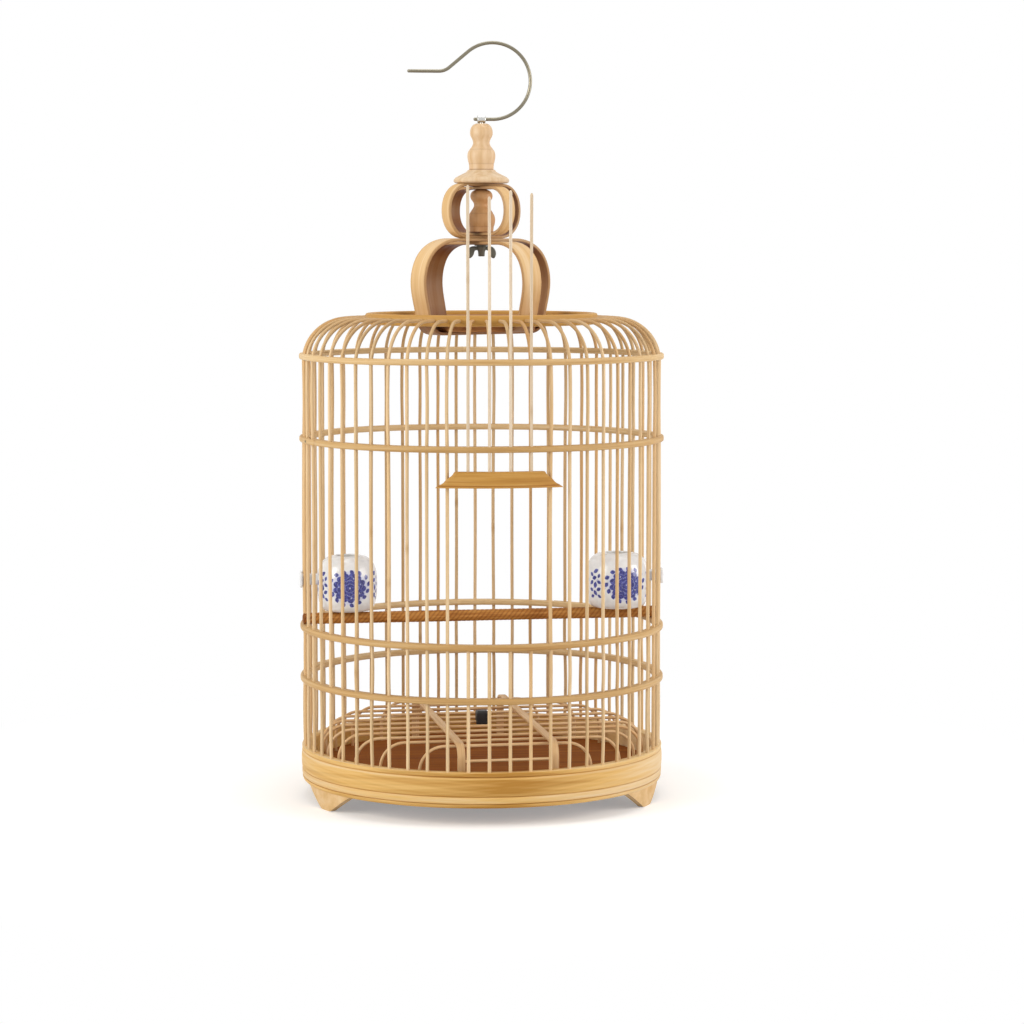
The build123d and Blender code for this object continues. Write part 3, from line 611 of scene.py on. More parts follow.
finishes = [
    # The base's tints run from gold at the front to cream at the lit sides: painted light.
    bamboo("base_bamboo", (0.69, 0.45, 0.2), (0.75, 0.53, 0.28), (0.79, 0.6, 0.37), (0.97, 0.88, 0.55),
           tints=((0.58, 0.4, 0.12), (0.94, 0.82, 0.5), (1, 1.03, 1.06)), along=3.5, across=260.0,
           # The base's mark tint darkens its grooves as painted shade.
           mark_tint=(0.6, 0.42, 0.26)),
    bamboo("foot_bamboo", (0.6, 0.38, 0.15), (0.69, 0.46, 0.22), (0.75, 0.54, 0.3), (0.96, 0.86, 0.66),
           on_map=False, along=9.0, across=120.0, flecks=0.0),
    bamboo("rib_bamboo", (0.62, 0.42, 0.22), (0.76, 0.56, 0.34), (0.83, 0.66, 0.46), (0.96, 0.87, 0.72),
           tints=((0.9, 0.78, 0.6), (0.86, 0.84, 0.76), (1, 0.99, 0.94)), along=12.0, across=900.0,
           mark_tint=(0.6, 0.46, 0.26)),
    # The hoops' tints run from tan at the front to pale and cool at the lit sides and back: painted light.
    bamboo("hoop_bamboo", (0.5, 0.29, 0.11), (0.65, 0.43, 0.2), (0.75, 0.55, 0.31), (0.9, 0.8, 0.62),
           tints=((0.74, 0.66, 0.5), (0.92, 0.9, 0.84), (1.08, 1.16, 1.28)), along=12.0, across=500.0),
    bamboo("rail_bamboo", (0.42, 0.2, 0.035), (0.54, 0.285, 0.062), (0.63, 0.38, 0.12), (0.95, 0.76, 0.46),
           # The rail's mark tint darkens its groove and ledge line as painted shade.
           along=18.0, across=420.0, mark_tint=(0.6, 0.38, 0.2)),
    bamboo("pale_bamboo", (0.62, 0.38, 0.18), (0.76, 0.51, 0.27), (0.84, 0.62, 0.38), (0.95, 0.84, 0.7),
           along=14.0, across=900.0, mark_tint=(0.7, 0.56, 0.42)),
    bamboo("rod_bamboo", (0.6, 0.47, 0.33), (0.71, 0.59, 0.45), (0.79, 0.69, 0.56), (0.96, 0.9, 0.82),
           along=14.0, across=900.0, mark_tint=(0.75, 0.65, 0.52)),
    bamboo("loop_bamboo", (0.64, 0.4, 0.16), (0.74, 0.5, 0.25), (0.82, 0.63, 0.4), (0.93, 0.78, 0.5),
           # The loops' mark tint darkens their insides and edges: the stalk's own colour and painted shade.
           along=7.0, across=230.0, mark_tint=(0.24, 0.08, 0.0)),
    turned_wood(),
    stained_board(),
    crown_stain(),
    perch_wood(),
    porcelain(),
    metal("steel_wire", (0.205, 0.18, 0.128), (0.312, 0.287, 0.222), (0.3, 0.42)),
    metal("bright_steel", (0.46, 0.46, 0.44), (0.66, 0.66, 0.64), (0.14, 0.3), on_map=False),
    metal("dark_steel", (0.085, 0.085, 0.066), (0.19, 0.185, 0.15), (0.45, 0.6), on_map=False, metallic=0.5),
    black_plastic(),
]
# The plain pieces' materials already hold some of these names, and a second one's name ends in .001.
materials = {finish.name.split(".")[0]: finish for finish in finishes}


# Thin round sticks
def stick(route, side, radius, holds=(), bow=0.0, joint_every=0.0, warm=0.0):
    """A split bamboo stick on a route. Its radius swells by two sines of its length, it bows by a half
    sine between the lengths where it is held, and a low ring marks each of the plant's joints."""
    length = lengths(route)
    first, second, _ = random.uniform(0, 2 * pi, 3)
    thick = radius * (0.985 + 0.015 * np.sin(length * 41 + first) + 0.01 * np.sin(length * 113 + second))
    mark = np.zeros_like(length)
    if joint_every:
        joint = random.uniform(0.1, 0.9) * joint_every
        nearest = np.abs((length - joint + joint_every / 2) % joint_every - joint_every / 2)
        mark = hump(nearest, 0.7 * mm)
        thick = thick * (1 + 0.05 * mark)
    if bow:
        held_by = np.clip(np.searchsorted(holds, length) - 1, 0, len(holds) - 2)
        starts, ends = np.asarray(holds)[held_by], np.asarray(holds)[held_by + 1]
        arch = np.sin(pi * held((length - starts) / (ends - starts)))
        sway = random.uniform(-bow, bow, (2, len(holds) - 1))[:, held_by, None] * arch[:, None]
        leg = unit(np.gradient(route, axis=0))
        route = route + sway[0] * side + sway[1] * np.cross(side, leg)
    return surface(carry(round_section(thick, 12), route, side), tone=random.uniform(0, 1),
                   mark=np.maximum(0.55 * mark, warm)[:, None], start=random.uniform(0, 3))


def rib(route, azimuth, **options):
    """One rib on a flat route, stood up at an azimuth."""
    return stick(upright(route, azimuth), across_way(azimuth), rib_radius, joint_every=rib_joint_spacing,
                 **options)


def make_ribs():
    """The ribs up the wall and over the shoulder, the short ones under the door and the ones over it."""
    low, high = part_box("wall_ribs")
    dome_height = high.z - rib_radius
    inner_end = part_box("crown_hoop")[1].x - rib_end_depth
    hoop_heights = [sum(corner.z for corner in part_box(name)) / 2 for name in nail_steps]
    shoulder = hoop_heights[-1]

    def over_dome(circle, foot, bend, step):
        """A route up from a foot and over the dome, and its warmth, which grows with height over the dome."""
        corners = ((circle, foot), (circle, dome_height), (inner_end, dome_height))
        route = rounded_route(corners, bend, step, 2.2 * mm)
        return route, 0.62 * held((route[:, 1] - shoulder) / (dome_height - shoulder))

    holds = [0.0, 10 * mm] + [height - low.z for height in hoop_heights]
    route, warm = over_dome(rib_circle, low.z, dome_bend, 5 * mm)
    ribs = []
    for place in range(rib_count - door_rib_count):
        azimuth = -pi / 2 + (place + (door_rib_count + 1) / 2) * rib_step
        ribs.append(rib(route, azimuth, holds=holds, bow=rib_bow, warm=warm))
    dress("split_wall_ribs", ribs, "rib_bamboo", "wall_ribs")

    sill = straight_run(*((rib_circle, corner.z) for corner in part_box("sill_ribs")), 5 * mm)
    route, warm = over_dome(head_rib_circle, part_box("head_ribs")[0].z, dome_height - shoulder, 3 * mm)
    sills, heads = [], []
    for azimuth in door_azimuths():
        sills.append(rib(sill, azimuth))
        heads.append(rib(route, azimuth, warm=warm))
    dress("split_sill_ribs", sills, "rib_bamboo", "sill_ribs")
    dress("split_head_ribs", heads, "rib_bamboo", "head_ribs")


def door_azimuths():
    """The azimuths of the door's four rods."""
    return [-pi / 2 + (place - (door_rib_count - 1) / 2) * rib_step for place in range(door_rib_count)]


def make_rods():
    """The door's four pale rods, with eased tops."""
    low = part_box("door_rods")[0].z
    top_steps = np.array((1.6, 1.0, 0.5, 0.15, 0)) * mm
    rods = []
    for azimuth, height in zip(door_azimuths(), rod_heights):
        top = low + height
        heights = np.concatenate([np.arange(low, top - 3 * mm, 5 * mm), top - top_steps])
        ease = np.sqrt(np.clip((top + 0.1 * mm - heights) / (1.4 * mm), 0.05, 1))
        rods.append(stick(polar(rod_circle, azimuth, heights), across_way(azimuth), rod_radius * ease,
                          holds=(0, height), bow=0.2 * mm, joint_every=230 * mm))
    dress("door_rods_split", rods, "rod_bamboo", "door_rods")


def make_rail():
    """The door's golden rail, its ends cut in soft steps. At each height its plan is a strip with rounded
    corners, bent round the cage's axis."""
    low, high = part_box("door_rail")
    height = high.z - low.z
    depth, rounding, columns = 5.0 * mm, 0.7 * mm, 96
    side_shares = ((1.0, 0.0), (0.96, 0.13), (0.868, 0.33), (0.82, 0.55), (0.745, 0.75), (0.7, 1.0))
    side = smooth_through([(high.x * out, low.z + height * up) for out, up in side_shares], 40)
    ease = np.arange(3) / 3
    climb = rounding * (1 - np.sqrt(1 - ease**2))
    drawn_in = rounding * (1 - np.sqrt(1 - (1 - ease) ** 2))
    heights = np.concatenate([low.z + climb, side[1:-1, 1], (high.z - climb)[::-1]])
    inset = np.concatenate([drawn_in, np.zeros(len(side) - 2), drawn_in[::-1]])
    line = hump(heights - low.z - 0.13 * height, 0.35 * mm)
    ledge_shade = hump(heights - low.z - 0.4 * height, 0.45 * mm)
    inset = inset + 0.25 * mm * line
    reach = np.interp(heights, side[:, 1], side[:, 0]) - inset
    plans = strip_section(2 * reach, depth - 2 * inset, rounding, 6)
    plan = np.stack([evened(section, columns) for section in plans])
    points = polar(rod_circle - plan[..., 1], plan[..., 0] / rod_circle - pi / 2, heights[:, None])
    # Painted shade: a dark line in the groove and a darker line at the ledge.
    mark = held(0.9 * line + 0.45 * ledge_shade)[:, None]
    dress("door_rail_shaped", [surface(points, mark=mark, tone=0.45, turned=True)], "rail_bamboo", "door_rail",
          crease=50)


def make_hoops():
    """Each hoop is one strip bent round, its two ends cut to long wedges that lie on each other.
    Where they meet, the line between them goes from the inside to the outside in step with the angle."""
    for name, steps in nail_steps.items():
        low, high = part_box(name)
        outer, inner = high.x, inner_radius(name)
        s = scarf_half_angle
        edge = scarf_tip / outer
        angle = np.concatenate([
            np.linspace(-s, s, 14), np.linspace(s + edge, 2 * pi - s - edge, 340),
            np.linspace(2 * pi - s, 2 * pi + s, 14),
        ])
        rise = (angle + s) / (2 * s)
        fall = (angle - 2 * pi + s) / (2 * s)
        line, last_line = (inner + scarf_tip + (outer - inner - 2 * scarf_tip) * held(share)
                           for share in (rise, fall))
        out_edge = np.where(rise <= 1, line - scarf_gap / 2, outer)
        in_edge = np.where(fall >= 0, last_line + scarf_gap / 2, inner)
        wobble = random.uniform(0, 2 * pi, 4)
        away = np.sin(pi * held(angle / (2 * pi)))
        sway = 0.14 * mm * (np.sin(3 * angle + wobble[0]) + np.sin(7 * angle + wobble[1])) * away
        lift = 0.12 * mm * (np.sin(2 * angle + wobble[2]) + np.sin(5 * angle + wobble[3])) * away
        turn = angle - pi / 2 + steps * rib_step
        route = polar((in_edge + out_edge) / 2 - 0.14 * mm + sway, turn, (low.z + high.z) / 2 + lift)
        section = strip_section(out_edge - in_edge, high.z - low.z, hoop_rounding, 5)
        paleness = 0.5 if name == "shoulder_hoop" else 0.08
        # Painted light: the strip is paler at the sides and the back, where the lamps light it; the shoulder
        # hoop is paler all round.
        around = held(0.35 * np.abs(np.cos(turn)) ** 2 + 0.85 * held(np.sin(turn)) ** 0.6)
        strip = surface(carry(section, route, polar(1, turn, 0)), tone=held(around + paleness)[:, None],
                        start=random.uniform(0, 3))
        dress(f"{name}_strip", [strip], "hoop_bamboo", name, crease=50)


def make_nails():
    """The small domed nail in each hoop's joint."""
    reach = np.array((-2.6, -0.02, 0.02, 0.14, 0.27, 0.36, 0.4)) * mm
    radius = np.array((0.4, 0.5, 0.85, 0.84, 0.66, 0.38, 0.05)) * mm
    heads = []
    for name, steps in nail_steps.items():
        low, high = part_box(name)
        route = polar(high.x + reach, -pi / 2 + steps * rib_step, (low.z + high.z) / 2)
        heads.append(surface(carry(round_section(radius, 16), route, upward)))
    dress("hoop_nail_heads", heads, "dark_steel", "hoop_nails")


# The ring at the foot of the cage
def make_base():
    """A thick bent ring. From the foot up its face has a bead, a strip, a broad band and a lip, each an arc
    whose height is a low power of a sine, with a fine groove between neighbours, darkened as painted shade."""
    low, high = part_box("base_ring")
    radius, wall, soft = high.x, 7.5 * mm, 0.9 * mm
    lip_radius = radius - 0.4 * mm
    grooves = low.z + np.array((2.9, 8.0, 21.7)) * mm
    levels = (low.z, *grooves, high.z)
    valleys = (radius - 1.9 * mm, radius - 1.3 * mm, radius - 0.9 * mm, lip_radius - 0.55 * mm,
               lip_radius - 0.35 * mm)
    crests = (radius - 1.0 * mm, radius - 0.5 * mm, radius, lip_radius)
    face = []
    for k, (crest, count) in enumerate(zip(crests, (12, 16, 32, 14))):
        t = np.linspace(0, 1, count)[:-1]
        start, end = valleys[k:k + 2]
        swell = (crest - min(start, end)) * (1 - abs(end - start) / radius) * np.sin(pi * t) ** 0.35
        height = levels[k] + (levels[k + 1] - levels[k]) * t
        face.append(np.stack([start + (end - start) * t + swell, height], -1))
    corner = np.array(((0, 1), (0.3, 0.3), (1, 0))) * soft
    outline = np.concatenate([(radius - wall, low.z) + corner, *face, ((valleys[-1], high.z),),
                              (radius - wall, high.z) + corner[::-1] * (1, -1)])
    outline[:, 0] = np.minimum(outline[:, 0], radius)
    height = outline[:, 1]
    outside = outline[:, 0] > radius - wall / 2
    # Painted shade: the grooves are darkened brown.
    groove_shade = outside * sum(hump(height - at, groove_width) for at in grooves)
    turn = pi / 2 + np.linspace(0, 2 * pi, 481)[:, None]
    # The skin's colour, mostly painted light: gold in front, paler to the left and cream to the right where the
    # lamps fall, with waves of lighter and darker skin; a cream strip; painted highlights on the band's top
    # edge and the rim's top.
    aside = np.cos(turn)
    around = 0.14 + 0.38 * held(-aside) ** 1.2 + 0.9 * held(aside) ** 1.4
    around = around - 0.14 * hump(aside - 0.07, 0.16)
    for phase, (count, slant, size) in zip(random.uniform(0, 2 * pi, len(base_streaks)), base_streaks):
        around = around + size * np.sin(count * turn + phase + slant * (height - low.z) / (5 * mm))
    strip = (height > grooves[0] + 0.3 * mm) & (height < grooves[1] - 0.3 * mm)
    # The strip is cream; the band's top edge and the rim's top are painted highlights.
    pale_strip_and_painted_light = 0.38 * strip + 0.5 * hump(height - grooves[2] + 1.1 * mm, 0.6 * mm)
    pale_strip_and_painted_light = pale_strip_and_painted_light + 0.5 * (height > high.z - 0.2 * mm)
    points = polar(outline[:, 0], turn, height)
    points[-1] = points[0]
    ring = surface(points, lids=False, mark=0.7 * groove_shade, tone=held(around + pale_strip_and_painted_light * outside))
    dress("moulded_base_ring", [ring], "base_bamboo", "base_ring", crease=60)
    for name in ("front_left_foot", "front_right_foot", "back_foot", "tray_ledge"):
        finish_node(name, "foot_bamboo")
    finish_node("tray", "stained_board")


# Crossed loops
def gourd_route(half_width, bottom, top, side_shares):
    """The closed outline of a loop: a curve up each side, flat across the top and the foot."""
    height = top - bottom
    right = smooth_through([(half_width * out, bottom + height * up) for out, up in side_shares], 76,
                           ways=((1, 0), (-1, 0)))
    left = right[::-1] * (-1, 1)
    across_top = straight_run(right[-1], left[0], 4 * mm)[1:-1]
    across_foot = straight_run(left[-1], right[0], 4 * mm)[1:]
    return np.concatenate([right, across_top, left, across_foot])


def make_loop(node, azimuth, half_width, width, thickness, side_shares):
    """One bent band: a strip with eased edges, its skin outside and the darker side of the stalk inside,
    deepened by painted shade.
    """
    low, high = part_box(node)
    outline = gourd_route(half_width, low.z, high.z, side_shares)
    way = unit(np.roll(outline, -1, 0)[:-1] - np.roll(outline, 1, 0)[:-1])
    way = np.concatenate([way, way[:1]])
    middle = outline + np.stack([-way[:, 1], way[:, 0]], -1) * thickness / 2
    strip = evened(strip_section(width, thickness, 0.55 * mm, 5), 64)
    points = carry(strip, upright(middle, azimuth), across_way(azimuth))
    points[-1] = points[0]
    # The section's second coordinate grows outwards.
    inside = held(-strip[:, 1] / (thickness / 2)) ** 3
    edge = hump(np.abs(strip[:, 0]) - width / 2, 0.8 * mm)
    low_down = held(1 - (middle[:, 1] - low.z) / (18 * mm))
    high_up = held(1 - (high.z - middle[:, 1]) / (14 * mm))
    # Partly the stalk's own darker inside and cut edges, partly painted shade: the inside darker still near the
    # foot and the top, the edges darker, and the band dark below the board.
    dark = inside * (0.72 + 0.26 * np.maximum(low_down, high_up)[:, None]) + 0.42 * edge * (1 - inside)
    shade_under_board = held((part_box("crown_board")[0].z + 1 * mm - middle[:, 1]) / (2 * mm))
    dark = np.maximum(dark, 0.75 * shade_under_board[:, None])
    band = surface(points, lids=False, mark=held(dark), tone=random.uniform(0.4, 0.6),
                   start=random.uniform(0, 2))
    dress(f"{node}_band", [band], "loop_bamboo", node, crease=50)


def make_crown():
    """The crown hoop and its board."""
    low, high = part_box("crown_hoop")
    inner = inner_radius("crown_hoop")
    turn = pi / 2 + np.linspace(0, 2 * pi, 361)
    section = strip_section(high.x - inner, high.z - low.z, 1.6 * mm, 7)
    points = carry(section, polar((high.x + inner) / 2, turn, (low.z + high.z) / 2), polar(1, turn, 0))
    points[-1] = points[0]
    dress("crown_hoop_bent", [surface(points, lids=False, tone=0.14)], "base_bamboo", "crown_hoop", crease=50)
    finish_node("crown_board", "crown_stain")


def make_boss():
    """The dark boss under the board: a disc with a quarter-round lower edge."""
    low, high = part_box("crown_boss")
    foot, edge = low.z - 2.1 * mm, 1.6 * mm
    t = np.linspace(0, pi / 2, 8)
    rim = np.stack([high.x - edge + edge * np.sin(t), foot + edge - edge * np.cos(t)], -1)
    outline = np.concatenate([((20 * mm, foot),), rim, ((high.x, high.z),)])
    dress("crown_boss_rounded", [surface(spun(outline, 120))], "crown_stain", "crown_boss")


def make_loops():
    """The two pairs of crossed bands."""
    for size, shape in loops.items():
        for place, azimuth in (("outer", pi / 4), ("inner", 3 * pi / 4)):
            make_loop(f"{size}_loop_{place}", azimuth + loop_turn, **shape)


# Turned pieces
def make_turned():
    """The post, the cap and the finial, each a side curve with the chisel's fine cuts, spun round the bolt."""
    finial_shares = ((0.88, 0.0), (0.885, 0.09), (0.94, 0.18), (1.0, 0.29), (0.92, 0.41), (0.7, 0.5),
                     (0.6, 0.575), (0.66, 0.66), (0.79, 0.745), (0.81, 0.82), (0.74, 0.91), (0.56, 0.975),
                     (0.36, 1.0))
    post_shares = ((0.88, 0.0), (0.89, 0.1), (0.97, 0.2), (1.0, 0.3), (0.9, 0.42), (0.66, 0.54), (0.54, 0.64),
                   (0.62, 0.71), (0.78, 0.79), (0.81, 0.86), (0.7, 0.94), (0.5, 0.985), (0.36, 1.0))
    cap_shares = ((0.91, 0.0), (0.98, 0.07), (1.0, 0.19), (0.965, 0.36), (0.87, 0.5), (0.75, 0.63),
                  (0.61, 0.77), (0.52, 0.9), (0.49, 1.0))
    seam_drop, bore_radius = 1.3 * mm, 1.7 * mm
    # Each piece's tone is painted light: the post, inside the loops, darker and warmer as painted shade, the
    # cap on top paler and cooler.
    for node, shares, cuts, tone, foot_drop, top_drop in (
        ("inner_post", post_shares, (0.13, 0.44), 0.0, 0, 0),
        ("cap", cap_shares, (), 0.9, 0, seam_drop),
        ("finial", finial_shares, (0.13, 0.44), 0.5, seam_drop, 0),
    ):
        low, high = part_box(node)
        foot, head = low.z - foot_drop, high.z - top_drop
        height = head - foot
        side = smooth_through([(high.x * out, foot + height * up) for out, up in shares], 90)
        up = (side[:, 1] - foot) / height
        groove = sum((hump((up - cut) * height, groove_width) for cut in cuts), 0 * up)
        side[:, 0] -= 0.15 * mm * groove
        outline = np.concatenate([((bore_radius, foot),), side, ((bore_radius, head),)])
        # Painted shade: the cuts and the seat at a piece's foot are darkened.
        seat_shade = hump(up * height, 0.5 * mm) * (node != "cap")
        mark = np.concatenate([[0], held(0.25 * groove + seat_shade), [0]])[:, None]
        dress(f"{node}_turned", [surface(spun(outline, 72), mark=mark, tone=tone)], "turned_wood", node)


# Hook, eye bolt and wing nut
def make_hook():
    """One steel wire: a lead through the eye, a round bow, a slant and a straight tail, with eased ends."""
    eye_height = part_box("hook")[0].z + wire_radius
    start, lead_end = -5.7 * mm, 8.1 * mm
    bow, sweep, slant, bend, tail = 27.4 * mm, radians(220), 17.6 * mm, 12.0 * mm, 22.7 * mm
    angle = np.linspace(0, sweep, 90)
    centre = np.array((lead_end, eye_height + bow))
    arc = centre + bow * np.stack([np.sin(angle), -np.cos(angle)], -1)
    way = np.array((cos(sweep), sin(sweep)))
    slant_end = arc[-1] + slant * way
    turn = np.linspace(0, pi - sweep, 16)[:, None]
    arm = bend * np.array((-way[1], way[0]))
    curve = slant_end - arm + np.cos(turn) * arm + np.sin(turn) * np.array((-arm[1], arm[0]))
    flat = np.concatenate([
        straight_run((start, eye_height), centre - (0, bow), 1.5 * mm)[:-1], arc,
        straight_run(arc[-1], slant_end, 3 * mm)[1:-1], curve,
        straight_run(curve[-1], curve[-1] - (tail, 0), 3 * mm)[1:],
    ])
    route = np.stack([flat[:, 0], 0 * flat[:, 0], flat[:, 1]], -1)
    radius = np.full(len(route), wire_radius)
    for end, thickness in ((route, radius), (route[::-1], radius[::-1])):
        end[:3] = end[0] + np.array((0.0, 0.35, 0.8))[:, None] * mm * unit(end[3] - end[0])
        thickness[:3] *= (0.35, 0.75, 0.95)
    dress("hook_wire", [surface(carry(round_section(radius, 20), route, (0, 1, 0)))], "steel_wire", "hook")


def make_eye_bolt():
    """A bolt with a threaded shank and a rounded barrel for an eye. The thread's depth goes up and down in
    straight lines with the height less the share of a turn."""
    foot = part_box("eye_bolt")[0].z
    eye_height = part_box("hook")[0].z + wire_radius
    shank, pitch, depth, threaded_length = 1.48 * mm, 0.7 * mm, 0.22 * mm, 22 * mm
    heights = np.arange(foot, eye_height - 2.4 * mm, 0.14 * mm)[:, None]
    angle = np.arange(16) * 2 * pi / 16
    threaded = held((foot + threaded_length - heights) / (1 * mm))
    wave = np.abs(((heights / pitch - angle / (2 * pi)) % 1) - 0.5) * 2
    radius = shank - depth * threaded * (1 - wave)
    radius[:2] *= 0.8
    thread = polar(radius, angle, heights)
    hole, outer, half = 1.38 * mm, 2.85 * mm, 3.0 * mm
    t = np.linspace(0, 2 * pi, 33)[:-1]
    across = half * bulge(np.cos(t), 0.5)
    out = (outer + hole) / 2 + (outer - hole) / 2 * bulge(np.sin(t), 0.7)
    around = np.linspace(0, 2 * pi, 49)[:, None]
    barrel = np.stack(np.broadcast_arrays(across, out * np.cos(around), eye_height + out * np.sin(around)), -1)
    dress("eye_bolt_threaded", [surface(thread), surface(barrel, lids=False)], "bright_steel", "eye_bolt")


def make_wing_nut():
    """A round nut with two leaf-shaped wings that arch out from its top and droop. A wing is its outline,
    drawn in by one minus the cosine and moved across by the sine of one angle."""
    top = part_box("wing_nut")[1].z
    hub_points = ((1.6, -7.6), (2.0, -7.6), (2.3, -7.2), (2.5, -4.2), (3.3, -2.6), (3.8, -0.6), (3.5, 0),
                  (1.6, 0))
    leaf_points = ((2.0, -0.6), (4.8, -0.2), (8.0, -0.8), (10.2, -3.4), (10.4, -7.0), (9.0, -9.0), (6.8, -7.9),
                   (5.3, -5.0), (4.2, -2.9), (2.0, -2.6), (2.0, -0.6))
    parts = [surface(spun(np.array(hub_points) * mm + (0, top), 40))]
    edge = smooth_through(np.array(leaf_points) * mm, 73)[:-1]
    middle = np.array((6.6, -3.8)) * mm
    t = np.linspace(-pi / 2, pi / 2, 11)[:, None]
    drawn = middle + (edge - middle) * (1 - 0.2 * (1 - np.cos(t)))[..., None]
    for side in (-1, 1):
        parts.append(surface(np.stack(np.broadcast_arrays(
            side * drawn[..., 0], 1.2 * mm * np.sin(t), top + drawn[..., 1]), -1)))
    dress("wing_nut_cast", parts, "dark_steel", "wing_nut")
    finish_node("washer", "dark_steel")


# Perch and cups
def make_perch():
    """A round perch with six fine spiral cuts: its radius drops by a power of a cosine of the twist."""
    azimuth = rib_step / 2
    low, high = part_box("perch")
    radius, rounding = (high.z - low.z) / 2, 0.4 * mm
    cut_depth, cut_pitch = 0.16 * mm, 3.4 * mm
    half = high.x / cos(azimuth) - rounding
    along = np.linspace(-half, half, 900)[:, None]
    columns = np.arange(84) * 2 * pi / 84
    cut = np.abs(np.cos(3 * columns + along * pi / cut_pitch)) ** 4
    waist = 1 - 0.012 * np.sin(along * 37)
    ease = np.sqrt(np.clip((half + rounding - np.abs(along)) / (1.2 * mm), 0.1, 1))
    end = held(1 - (half - np.abs(along)) / (9 * mm))
    thick = ((radius - cut_depth * cut) * waist * ease)[..., None]
    ring = np.cos(columns)[:, None] * across_way(azimuth) + np.sin(columns)[:, None] * upward
    points = along[..., None] * polar(1, azimuth, 0) + thick * ring + (0, 0, (high.z + low.z) / 2)
    # Painted shade in the spiral cuts; the perch also darkens towards its ends.
    dress("perch_cut", [surface(points, mark=held(0.55 * cut + 0.8 * end))], "perch_wood", "perch")


def leaf(x, y, at, turn, length, width):
    """How far inside a pointed leaf a point lies: half width times (1 - square of the length share)."""
    u = (x - at[0]) * np.cos(turn) + (y - at[1]) * np.sin(turn)
    v = -(x - at[0]) * np.sin(turn) + (y - at[1]) * np.cos(turn)
    return width / 2 * (1 - (2 * u / length) ** 2) - np.abs(v)


def cobalt_band(x, y, repeat):
    """Full peony heads with leaves, stems and buds between them, as a share of paint at each place in
    millimetres. A head is rings of petals, each an oval whose radius rises to points by a power of a sine."""
    stretch = 1.14
    x = (x + repeat / 2) % repeat - repeat / 2
    paint = np.zeros(np.broadcast(x, y).shape)

    def lay(depth, strength=1.0, soft=0.5):
        nonlocal paint
        paint = np.maximum(paint, strength * held(0.5 + depth / soft))

    out = np.hypot(x / stretch, y)
    round_ = np.arctan2(y, x / stretch)
    lay(12.6 - out, 0.3, 2.2)
    for size, count, phase, line in (
        (11.2, 13, 0.3, None), (8.5, 10, 0.1, 0.72), (5.9, 8, 0.4, 0.62), (3.3, 6, 0.0, 0.72),
    ):
        edge = size * (0.83 + 0.17 * np.abs(np.sin(count * (round_ + phase) / 2)) ** 0.7)
        lay(edge - out, 0.94)
        if line:
            paint = np.where(np.abs(out - edge) < 0.17, line, paint)
    for count, reach, size in ((7, 7.2, 0.5), (1, 0.0, 0.6)):
        for k in range(count):
            turn = 2 * pi * k / count + 0.35
            spot = np.hypot(x - stretch * reach * cos(turn), y - reach * sin(turn))
            paint = np.where(spot < size, 0.55, paint)
    for k in range(15):
        turn = 2 * pi * k / 15 + 0.2
        reach = 13.1 + 0.7 * sin(3 * turn)
        at = (stretch * reach * cos(turn), 0.93 * reach * sin(turn))
        lay(leaf(x, y, at, turn + 0.9, 4.2, 3.1))
    seam = np.where(x > 0, x - repeat / 2, x + repeat / 2)
    lay(0.3 - np.abs(y - 3.4 * np.sin(seam * 0.6)), 0.7)
    for u, v, turn, length, width in (
        (0.2, 9.6, 0.5, 4.6, 2.6), (-3.6, 7.0, -0.7, 3.8, 2.2), (3.4, 6.2, 1.2, 3.4, 2.0),
        (-0.8, 4.6, 0.3, 4.2, 2.6), (3.6, 1.6, -0.4, 3.6, 2.2), (-3.4, 1.2, 0.8, 4.0, 2.4),
        (0.2, -0.6, 1.4, 4.4, 2.8), (-3.8, -4.2, -0.5, 3.6, 2.2), (3.2, -3.6, 0.5, 4.0, 2.4),
        (0.0, -6.4, -0.9, 4.4, 2.6), (-3.2, -9.0, 0.4, 3.8, 2.2), (3.6, -8.8, -0.6, 3.6, 2.0),
    ):
        lay(leaf(seam, y, (u, v), turn, 1.12 * length, 1.2 * width), 0.97)
    return paint


